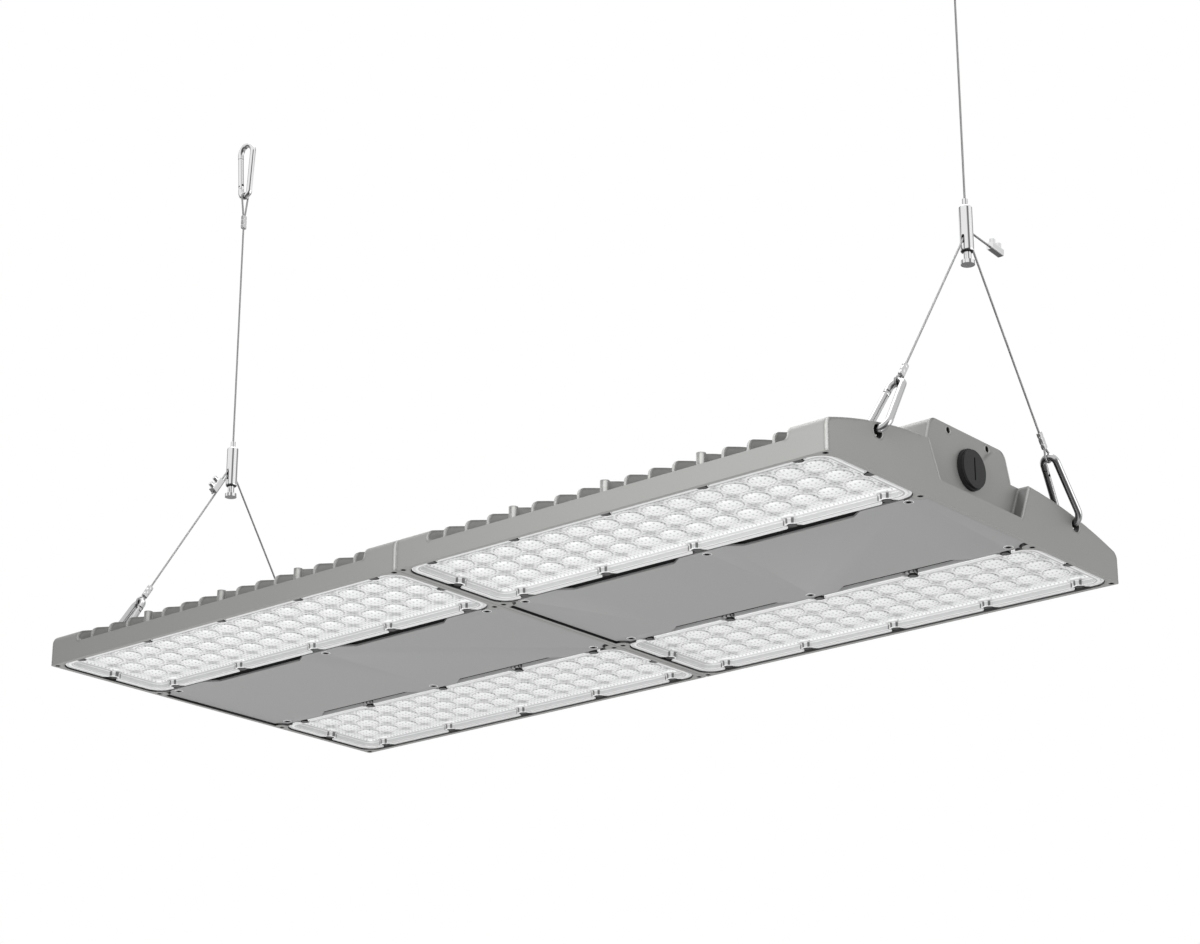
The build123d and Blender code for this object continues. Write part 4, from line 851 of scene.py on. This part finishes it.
def optic_cell(steps):
    """One cell of the lens field on a polar grid: a crowned optic with a lip, and the cell round it.

    Inside the optic its face is lower than the field by lip + (crown - lip) * (1 - (r / R) ** 2). Then come a
    small groove and a flat. Four of the grid's directions are the cell's own corners.
    """
    lip = 0.35
    turn = np.arange(steps) / steps * 2 * math.pi
    for eighth in (1, 3, 5, 7):
        diagonal = eighth * math.pi / 4
        corner = math.atan2(math.sin(diagonal) * CELL_Y, math.cos(diagonal) * CELL_X)
        turn[eighth * steps // 8] = corner % (2 * math.pi)
    shares = np.array([0.12, 0.3, 0.48, 0.64, 0.78, 0.89, 0.96, 1.0])
    radii = shares * OPTIC_R
    heights = FIELD_Z - lip - (OPTIC_CROWN - lip) * (1 - shares**2)
    radii = np.concatenate([radii, [OPTIC_R + 0.08, OPTIC_R + 0.5]])
    heights = np.concatenate([heights, [FIELD_Z + 0.12, FIELD_Z]])
    ring = np.stack([np.cos(turn), np.sin(turn)], axis=-1)
    rings = radii[:, None, None] * ring[None]
    reach = np.maximum(np.abs(ring), 1e-9)
    stretch = np.minimum(CELL_X / 2 / reach[:, 0], CELL_Y / 2 / reach[:, 1])
    edge = ring * stretch[:, None]
    plan = np.concatenate([rings, edge[None]])
    z = np.concatenate([heights, [FIELD_Z]])
    points = np.concatenate([plan, np.broadcast_to(z[:, None, None], (*plan.shape[:2], 1))], axis=-1)
    crown = np.array([[0.0, 0.0, FIELD_Z - OPTIC_CROWN]])
    faces = grid_faces(len(z), steps, True).tolist()
    hub = len(z) * steps
    faces += [((i + 1) % steps, i, hub) for i in range(steps)]
    return np.concatenate([points.reshape(-1, 3), crown]), faces


def lens_field():
    """All cells of a panel, about its middle."""
    cell, faces = optic_cell(shape().optic_steps)
    parts = []
    for i in range(CELLS_LONG):
        for j in range(CELLS_WIDE):
            x = CELL_X * (i + 0.5 - CELLS_LONG / 2)
            y = CELL_Y * (j + 0.5 - CELLS_WIDE / 2)
            parts.append((cell + [x, y, 0.0], faces))
    return parts


def panel_centre(module, side):
    """Centre of a lens panel in mm, at the underside's rim plane."""
    middle = centre(f"lens_cover_{module}_{side}")
    return np.array([middle[0], middle[1], 0.0])


def cell_uv(middle):
    """Map coordinates that count cells from a panel's corner."""
    pitch = np.array([CELL_X, CELL_Y])
    half = pitch * [CELLS_LONG, CELLS_WIDE] / 2
    return lambda points: (points[:, :2] - middle[:2] + half) / pitch


def near_uv(spots):
    """Map coordinates from the nearest spot: the way round it in half turns, and centimetres away from it."""
    spots = np.asarray(spots, float)

    def uv(points):
        away = points[:, None, :2] - spots[None]
        distance = np.linalg.norm(away, axis=-1)
        near = away[np.arange(len(points)), distance.argmin(axis=1)]
        turns = np.abs(np.arctan2(near[:, 1], near[:, 0])) / math.pi
        return np.column_stack([turns, distance.min(axis=1) / 10])

    return uv


def edge_uv(middle):
    """Map coordinates with the distance in from a cover's rounded outline, in centimetres."""

    def uv(points):
        away = np.abs(points[:, :2] - middle[:2]) - (np.array([HALF_LONG, HALF_WIDE]) - CORNER)
        corner = np.linalg.norm(np.maximum(away, 0), axis=1) + np.minimum(away.max(axis=1), 0)
        return np.column_stack([(CORNER - corner) / 10, np.zeros(len(points))])

    return uv


class HIGHBAY_OT_lens_covers(bpy.types.Operator):
    """Models the four clear lens covers: rim with notches and columns, tabs, and the field of optics"""

    bl_idname = "high_bay.lens_covers"
    bl_label = "Lens covers"

    def execute(self, context):
        rim = lens_rim()
        tabs = [lens_tab(x, y, out) for x, y, out in screw_spots()]
        field = lens_field()
        for module, side in MODULE_SIDES:
            middle = panel_centre(module, side)
            name = f"{module}_{side}"
            moved = [(points + middle, faces) for points, faces in [rim] + tabs]
            spots = [(x + middle[0], y + middle[1]) for x, y, out in screw_spots()]
            maps = {"cells": cell_uv(middle), "screws": near_uv(spots), "edge": edge_uv(middle)}
            obj = piece(f"lens_rim_{name}", moved, "lens_rim", "lamp", smooth=30, maps=maps)
            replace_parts(obj, f"lens_cover_{name}")
            cells = [(points + middle, faces) for points, faces in field]
            maps = {"cells": cell_uv(middle)}
            piece(f"lens_field_{name}", cells, "lens_field", "lamp", 40, maps=maps, back=BACK_Z)
        return {"FINISHED"}


def unit(vectors):
    """Vectors made one long."""
    return vectors / np.linalg.norm(vectors, axis=-1, keepdims=True)


def capped(rings):
    """A closed skin over rings of as many points each, with flat ends."""
    rows, columns = rings.shape[:2]
    last = (rows - 1) * columns
    caps = [tuple(range(columns)), tuple(range(last, last + columns))]
    return rings.reshape(-1, 3), grid_faces(rows, columns, True).tolist() + caps


def tube(path, radius, sides):
    """A round tube: a circle carried along a path, square to it, with flat ends.

    Each ring's side is the last one's with its part along the path taken out, so the tube doesn't twist.
    """
    steps = unit(np.gradient(path, axis=0))
    side = np.cross(steps[0], [0.31, 0.94, 0.13])
    turn = np.arange(sides)[:, None] / sides * 2 * math.pi
    rings = []
    for point, step in zip(path, steps):
        side = unit(side - step * side.dot(step))
        rings.append(point + radius * (np.cos(turn) * side + np.sin(turn) * np.cross(step, side)))
    return capped(np.array(rings))


def turned(profile, sides):
    """A turned part about Z: a closed profile of (radius, z) carried round the axis."""
    profile = np.asarray(profile, float)
    turn = np.arange(sides) / sides * 2 * math.pi
    r, z = profile[:, :1], np.broadcast_to(profile[:, 1:], (len(profile), sides))
    points = np.stack([r * np.cos(turn), r * np.sin(turn), z], axis=-1)
    closed = np.concatenate([points, points[:1]])
    return closed.reshape(-1, 3), grid_faces(len(profile) + 1, sides, True)


def place(parts, matrix):
    """Parts moved by a 4x4 matrix in mm."""
    turn, shift = np.array(matrix)[:3, :3], np.array(matrix)[:3, 3]
    return [(np.asarray(points) @ turn.T + shift, faces) for points, faces in parts]


def rotation(axis, degrees):
    """A turn about X, Y or Z as a 4x4 matrix."""
    return Matrix.Rotation(math.radians(degrees), 4, axis)


def shift(x, y, z):
    """A move as a 4x4 matrix."""
    return Matrix.Translation((x, y, z))


def ends():
    """Frames of both kits: the light's own for the right, half a turn round for the left."""
    return {"right": Matrix.Identity(4), "left": rotation("Z", 180)}


def hook_frames():
    """Where each hook's own frame is in a kit."""
    frames = {}
    for name, side in (("front", -1), ("back", 1)):
        lean = rotation("X", side * LEG_TURN)
        frames[name] = shift(RIGHT_END, side * PANEL_Y, HOOK_HOLE_Z) @ lean @ shift(0, 0, HOOK_SEAT)
    frames["ceiling"] = shift(RIGHT_END, 0, TOP_HOOK_Z) @ rotation("Y", 180)
    return frames


def side_name(kit, name):
    if kit == "left" and name != "ceiling":
        return "back" if name == "front" else "front"
    return name


def hook_path():
    """Centre line of a snap hook's body: nose, wide bend, spine, narrow bend and stub, in the XZ plane."""
    c, s = math.cos(LEAN), math.sin(LEAN)
    down = np.array([-s, -c])
    top_left = np.array([-NARROW * c, WIDE + SPAN + NARROW * s])
    nose = top_left + down * (SPAN * c - NOSE)
    arc_wide = np.linspace(math.pi - LEAN, 2 * math.pi + LEAN, 25)
    arc_narrow = np.linspace(LEAN, math.pi - LEAN, 21)
    bends = []
    for radius, z, turn in ((WIDE, WIDE, arc_wide), (NARROW, WIDE + SPAN, arc_narrow)):
        bends.append(np.stack([radius * np.cos(turn), z + radius * np.sin(turn)], axis=-1))
    plan = np.concatenate([[nose], *bends, [top_left + down * STUB]])
    return np.column_stack([plan[:, 0], np.zeros(len(plan)), plan[:, 1]])


def tongue():
    """Flat tongue of a hook's body, round about the gate's pin: an outline carried through its thickness."""
    half, thick, steps = 1.9, 1.0, 13
    turn = np.linspace(-math.pi / 2, math.pi / 2, steps)
    outline = np.concatenate([
        np.stack([half * np.sin(turn), PIN_DROP + half * np.cos(turn)], axis=-1),
        [[half, STUB - 0.6], [-half, STUB - 0.6]],
    ])
    c, s = math.cos(LEAN), math.sin(LEAN)
    origin = np.array([-NARROW * c, 0, WIDE + SPAN + NARROW * s])
    across, down = np.array([c, 0, -s]), np.array([-s, 0, -c])
    plan = origin + outline[:, :1] * across + outline[:, 1:] * down
    return slab(plan - [0, thick, 0], plan + [0, thick, 0])


class HIGHBAY_OT_hooks(bpy.types.Operator):
    """Models the bodies of the snap hooks as smooth bent rods, and finishes their gates and pins"""

    bl_idname = "high_bay.hooks"
    bl_label = "Snap hooks"

    def execute(self, context):
        body = [tube(hook_path(), ROD, 24), tongue()]
        finishes = {"lamp_hooks": "hook", "ceiling_hooks": "bright"}
        groups = {node: [] for node in finishes}
        for kit, end in ends().items():
            for name, spot in hook_frames().items():
                node = "ceiling_hooks" if name == "ceiling" else "lamp_hooks"
                groups[node] += place(body, end @ spot)
                gate = f"gate_{kit}_{side_name(kit, name)}"
                soften(gate, finishes[node], body=gate)
        for node, parts in groups.items():
            obj = piece(f"bent_{node}", parts, finishes[node], "lamp", smooth=40)
            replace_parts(obj, node)
        paint(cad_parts["gate_pins"], "screw")
        return {"FINISHED"}


def spline_points(name, route):
    """Points along the NURBS spline of a route, in mm, read from a curve without a bevel."""
    curve = bpy.data.curves.new(name + "_route", "CURVE")
    curve.dimensions = "3D"
    curve.resolution_u = 24
    spline = curve.splines.new("NURBS")
    spline.points.add(len(route) - 1)
    for point, place_mm in zip(spline.points, route):
        point.co = (*(np.array(place_mm) * MM), 1.0)
    spline.order_u = 3
    spline.use_endpoint_u = True
    carrier = bpy.data.objects.new(name + "_route", curve)
    bpy.context.scene.collection.objects.link(carrier)
    line = bpy.data.meshes.new_from_object(carrier)
    points = np.array([v.co for v in line.vertices]) / MM
    bpy.data.objects.remove(carrier)
    bpy.data.meshes.remove(line)
    return points


def even(points, spacing):
    """A path's points again, evenly spaced."""
    points = np.asarray(points, float)
    run = np.concatenate([[0], np.cumsum(np.linalg.norm(np.diff(points, axis=0), axis=1))])
    where = np.linspace(0, run[-1], max(int(run[-1] / spacing), 2) + 1)
    return np.stack([np.interp(where, run, points[:, k]) for k in range(3)], axis=-1), where


def stranded(points):
    """A stranded wire: a core and strands that wind round it, each a helix about the path.

    Strand k at distance d is at path + 2 * radius * (cos, sin)(2 pi (d / lay + k / strands)), where radius is
    that of one strand, a third of the wire's.
    """
    lay = shape().wire_lay / MM
    path, run = even(points, lay / 12)
    step = unit(np.gradient(path, axis=0))
    side = unit(np.cross(step, [1.0, 0.0, 0.0]))
    up = np.cross(step, side)
    radius = WIRE_R / 3
    parts = [tube(path[:: len(path) - 1], radius, 6)]
    for k in range(STRANDS):
        turn = 2 * math.pi * (run / lay + k / STRANDS)[:, None]
        parts.append(tube(path + 2 * radius * (np.cos(turn) * side + np.sin(turn) * up), radius, 6))
    return parts


def straight_route(start, end):
    """Route of a taut wire: its ends, and a point six diameters in from each."""
    inset = 6 * 2 * WIRE_R * unit(end - start)
    return [start, start + inset, end - inset, end]


def leg_start(side):
    """Frame of a leg wire inside its gripper, with Z along the leg towards the lamp."""
    return shift(RIGHT_END, 0, BRIDLE_Z) @ rotation("X", 180 + side * LEG_TURN) @ shift(0, 0, LEG_START)


def tail_start(kit):
    """Frame of a tail wire inside its gripper, with Z along it."""
    turn = TAIL_TURN[kit]
    if kit == "right":
        return shift(RIGHT_END, WIRE_START, TAIL_Z) @ rotation("X", 180 + turn)
    drop = (WIRE_START - TAIL_OFFSET * math.cos(math.radians(turn))) / math.sin(math.radians(turn))
    beside = shift(RIGHT_END, 0, BRIDLE_Z) @ rotation("X", 180 + turn)
    return beside @ shift(0, -TAIL_OFFSET, 0) @ shift(0, 0, drop)


def wire_runs(kit, end):
    """Name, start and end point of every wire of a kit, with how it ends."""
    at = lambda frame_4x4, z: np.array(end @ frame_4x4 @ Vector((0, 0, z)))
    top = TOP_HOOK_Z - NARROW_TOP - CEILING_EYE - FERRULE
    upright = shift(RIGHT_END, 0, 0)
    runs = [(f"main_wire_{kit}", at(upright, BORE_FOOT), at(upright, top), "object")]
    leg = LEG_REACH - (HOOK_SEAT + NARROW_TOP + LAMP_EYE + FERRULE) - LEG_START
    for name, side in (("front", -1), ("back", 1)):
        spot = leg_start(side)
        runs.append((f"leg_wire_{kit}_{side_name(kit, name)}", at(spot, 0), at(spot, leg), "object"))
    spot = tail_start(kit)
    runs.append((f"tail_wire_{kit}", at(spot, 0), at(spot, TAIL_LENGTH[kit]), "bare"))
    return runs


class HIGHBAY_OT_wires(bpy.types.Operator):
    """Models the stranded wires of both kits as taut cords"""

    bl_idname = "high_bay.wires"
    bl_label = "Wires"

    def execute(self, context):
        for kit, end in ends().items():
            for node, start, stop, far_end in wire_runs(kit, end):
                points = spline_points(node, straight_route(start, stop))
                obj = piece("strand_" + node, stranded(points), "wire", "lamp", smooth=60)
                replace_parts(obj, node)
        return {"FINISHED"}


def eye_path(length):
    """Centre line of a wire eye round a hook's narrow bend, in the YZ plane of the hook's frame."""
    loop = ROD + 0.1 + WIRE_R
    strand = STRAND_GAP / 2
    turn = math.atan2(strand, length) + math.acos(loop / math.hypot(strand, length))
    sweep = np.linspace(turn, 2 * math.pi - turn, 29)
    arc = np.stack([loop * np.sin(sweep), NARROW_TOP + loop * np.cos(sweep)], axis=-1)
    end = NARROW_TOP + length + FERRULE - 0.5
    foot = NARROW_TOP + length
    plan = np.concatenate([[[strand, end], [strand, foot]], arc, [[-strand, foot], [-strand, end]]])
    return np.column_stack([np.zeros(len(plan)), plan])


def ferrule_shell(length):
    """Pressed sleeve: a stadium outline carried along the wire, with pressed waists and rounded ends."""
    sides, thick = 32, 0.9
    stations = np.array([0.0, 0.35, 1.2, 2.6, 3.4, 4.2, 5.65, 7.1, 7.9, 8.7, 10.1, 10.95, FERRULE])
    swell = np.array([-0.35, -0.08, 0.0, 0.0, -0.22, 0.0, 0.0, 0.0, -0.22, 0.0, 0.0, -0.08, -0.35])
    turn = np.arange(sides) / sides * 2 * math.pi
    strand = np.sign(np.round(np.sin(turn), 9)) * STRAND_GAP / 2
    r = (WIRE_R + thick + swell)[:, None]
    z = np.broadcast_to((NARROW_TOP + length + stations)[:, None], (len(stations), sides))
    return capped(np.stack([r * np.cos(turn), strand + r * np.sin(turn), z], axis=-1))


class HIGHBAY_OT_eyes(bpy.types.Operator):
    """Models the wire eyes at the hooks and the ferrules that close them"""

    bl_idname = "high_bay.eyes"
    bl_label = "Wire eyes and ferrules"

    def execute(self, context):
        eyes, sleeves = [], []
        for end in ends().values():
            for name, spot in hook_frames().items():
                length = CEILING_EYE if name == "ceiling" else LAMP_EYE
                eyes += place([tube(even(eye_path(length), 0.5)[0], WIRE_R, 10)], end @ spot)
                sleeves += place([ferrule_shell(length)], end @ spot)
        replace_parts(piece("bent_wire_eyes", eyes, "wire", "lamp", smooth=50), "wire_eyes")
        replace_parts(piece("pressed_ferrules", sleeves, "ferrule", "lamp", smooth=30), "ferrules")
        return {"FINISHED"}


def cover_screw_spots():
    """Middle of every cover screw, in plan."""
    along = [m * MODULE_X + x for m in (-1, 1) for x in COVER_SCREW_X]
    return [(x, s * COVER_SCREW_Y) for x in along for s in (-1, 1)]


def cover_screw_head():
    """Countersunk head: a disc with a softened rim, a socket in its face and a cone behind."""
    r, foot = COVER_SCREW_R, COVER_FOOT - 0.12
    profile = [
        (0, foot + 1.1), (1.55, foot + 1.1), (1.65, foot + 0.05), (1.8, foot), (r - 0.45, foot),
        (r - 0.15, foot + 0.08), (r, foot + 0.3), (1.6, foot + COVER_SCREW_DEEP), (1.5, foot + 4),
        (0, foot + 4),
    ]
    return turned(profile, 32)


class HIGHBAY_OT_screw_heads(bpy.types.Operator):
    """Models the countersunk heads of the cover plates' screws"""

    bl_idname = "high_bay.screw_heads"
    bl_label = "Cover screws"

    def execute(self, context):
        points, faces = cover_screw_head()
        spots = cover_screw_spots()
        heads = [(points + [x, y, 0.0], faces) for x, y in spots]
        maps = {"screws": near_uv(spots)}
        obj = piece("countersunk_heads", heads, "screw_head", "lamp", smooth=40, maps=maps)
        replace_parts(obj, "cover_screws")
        return {"FINISHED"}


class HIGHBAY_OT_castings(bpy.types.Operator):
    """Softens the castings' and cover plates' edges and gives them their coat"""

    bl_idname = "high_bay.castings"
    bl_label = "Castings and plates"

    def execute(self, context):
        for module in ("right", "left"):
            soften(f"housing_{module}", "casting", shape().edge, angle=25)
            soften(f"driver_cover_{module}", "plate", shape().edge / 2, angle=25)
        return {"FINISHED"}


def lift_foot(obj, gap):
    """Raises a piece's lowest face, so that it stays clear of the floor of its bore."""
    foot = min(vertex.co.z for vertex in obj.data.vertices)
    for vertex in obj.data.vertices:
        if vertex.co.z < foot + 1e-5:
            vertex.co.z += gap


class HIGHBAY_OT_fittings(bpy.types.Operator):
    """Finishes the grippers, clamps, plugs, gland, nuts, screws and inner parts"""

    bl_idname = "high_bay.fittings"
    bl_label = "Fittings"

    def execute(self, context):
        for kit in ("right", "left"):
            soften(f"gripper_body_{kit}", "bore_shaded")
            node = f"gripper_plunger_{kit}"
            lift_foot(soften(node, "bright", body=node), PRESSED_GAP * MM)
            soften(f"wire_clamp_{kit}", "bright")
        plain = {
            "gripper_feet": "bright", "clamp_screws": "bright", "blanking_plugs": "black",
            "gland_body": "black", "gland_nut": "black", "gland_insert": "gasket", "port_seals": "gasket",
            "lock_nuts": "black", "link_conduit": "black", "joining_bolts": "screw", "joining_nuts": "screw",
            "joining_washers": "screw", "lens_screws": "screw", "driver_screws": "screw",
            "terminal_block": "black", "lens_gaskets": "gasket", "cover_gaskets": "gasket",
        }
        for node, finish_name in plain.items():
            soften(node, finish_name)
        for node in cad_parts:
            if node.startswith("led_board"):
                paint(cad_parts[node], "white_board")
            if node.startswith("led_driver"):
                paint(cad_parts[node], "inner_case")
        return {"FINISHED"}


# Stage, in metres and watts; each lamp is its name, place, target, size, power and whether metal mirrors it
CAMERA_PLACE = (1.22275, -1.41057, -0.57121)
CAMERA_TURN = (math.radians(110.14), 0.0, math.radians(40.08))
LENS_MM = 85.0
FLOOR_Z, FLOOR_REACH = -1.35, 4.0
WORLD_LEVEL = 0.34
LAMPS = (
    ("key", (0.4, -0.7, 0.06), (0.36, -0.16, 0.01), 0.4, 4.2, False),
    ("side", (2.0, 0.4, 0.1), (0.34, 0.0, 0.03), 1.2, 9.0, True),
    ("under", (-0.15, -0.2, -1.25), (-0.1, 0.0, 0.0), 2.0, 18.5, True),
    ("top", (-0.4, 0.4, 2.2), (0.0, 0.0, 0.1), 1.8, 26.0, True),
)


def add_light(name, place_m, target, size, power, mirrored):
    """A soft square lamp that looks at a target."""
    lamp = bpy.data.lights.new(name, "AREA")
    lamp.size = size
    lamp.energy = power
    obj = bpy.data.objects.new(name, lamp)
    obj.location = place_m
    obj.visible_camera = False
    obj.visible_glossy = mirrored
    obj.rotation_euler = (Vector(target) - Vector(place_m)).to_track_quat("-Z", "Y").to_euler()
    bpy.context.scene.collection.objects.link(obj)


def world_light(strength):
    """Even light from all round; the camera and reflections see a white background."""
    world = bpy.data.worlds.new("studio")
    bpy.context.scene.world = world
    world.use_nodes = True
    tree = world.node_tree
    background = tree.nodes["Background"]
    background.inputs["Color"].default_value = (1, 1, 1, 1)
    path = tree.nodes.new("ShaderNodeLightPath")
    seen = math_node(tree, "MAXIMUM", path.outputs["Is Camera Ray"], path.outputs["Is Glossy Ray"])
    seen = math_node(tree, "MAXIMUM", seen, path.outputs["Is Transmission Ray"])
    level = math_node(tree, "MULTIPLY_ADD", seen, 1.0 - strength, strength)
    tree.links.new(level, background.inputs["Strength"])


class HIGHBAY_OT_stage(bpy.types.Operator):
    """Adds the camera, the pale floor and soft studio light"""

    bl_idname = "high_bay.stage"
    bl_label = "Studio"

    def execute(self, context):
        scene = context.scene
        scene.view_settings.view_transform = "Standard"
        camera = bpy.data.cameras.new("camera")
        camera.lens = LENS_MM
        camera.sensor_width = 36.0
        camera.clip_end = 50.0
        obj = bpy.data.objects.new("camera", camera)
        obj.location = CAMERA_PLACE
        obj.rotation_euler = CAMERA_TURN
        scene.collection.objects.link(obj)
        scene.camera = obj
        signs = ((-1, -1), (1, -1), (1, 1), (-1, 1))
        corners = [(x * FLOOR_REACH, y * FLOOR_REACH, FLOOR_Z) for x, y in signs]
        mesh = bpy.data.meshes.new("floor")
        mesh.from_pydata(corners, [], [(0, 1, 2, 3)])
        floor = bpy.data.objects.new("floor", mesh)
        scene.collection.objects.link(floor)
        floor.data.materials.append(new_material("pale_floor", (0.86, 0.86, 0.86), 0.6)[0])
        world_light(WORLD_LEVEL)
        for lamp in LAMPS:
            add_light(*lamp)
        return {"FINISHED"}


class HIGHBAY_PT_panel(bpy.types.Panel):
    """Buttons for every group of pieces"""

    bl_label = "High bay light"
    bl_idname = "HIGHBAY_PT_panel"
    bl_space_type = "VIEW_3D"
    bl_region_type = "UI"
    bl_category = "High bay"

    def draw(self, context):
        for group in (context.scene.high_bay_finish, context.scene.high_bay_shape):
            for name in group.__annotations__:
                self.layout.prop(group, name)
        for operator in OPERATORS:
            self.layout.operator(operator.bl_idname)


OPERATORS = (
    HIGHBAY_OT_stage,
    HIGHBAY_OT_wires,
    HIGHBAY_OT_eyes,
    HIGHBAY_OT_hooks,
    HIGHBAY_OT_lens_covers,
    HIGHBAY_OT_castings,
    HIGHBAY_OT_screw_heads,
    HIGHBAY_OT_fittings,
)
CLASSES = (HighBayFinish, HighBayShape, *OPERATORS, HIGHBAY_PT_panel)


def register():
    """Adds the classes and the scene's settings."""
    for cls in CLASSES:
        bpy.utils.register_class(cls)
    bpy.types.Scene.high_bay_finish = PointerProperty(type=HighBayFinish)
    bpy.types.Scene.high_bay_shape = PointerProperty(type=HighBayShape)


def unregister():
    """Takes the classes and the scene's settings away."""
    del bpy.types.Scene.high_bay_finish
    del bpy.types.Scene.high_bay_shape
    for cls in reversed(CLASSES):
        bpy.utils.unregister_class(cls)


def main():
    register()
    for operator in OPERATORS:
        group, name = operator.bl_idname.split(".")
        getattr(getattr(bpy.ops, group), name)()


if __name__ == "__main__":
    main()
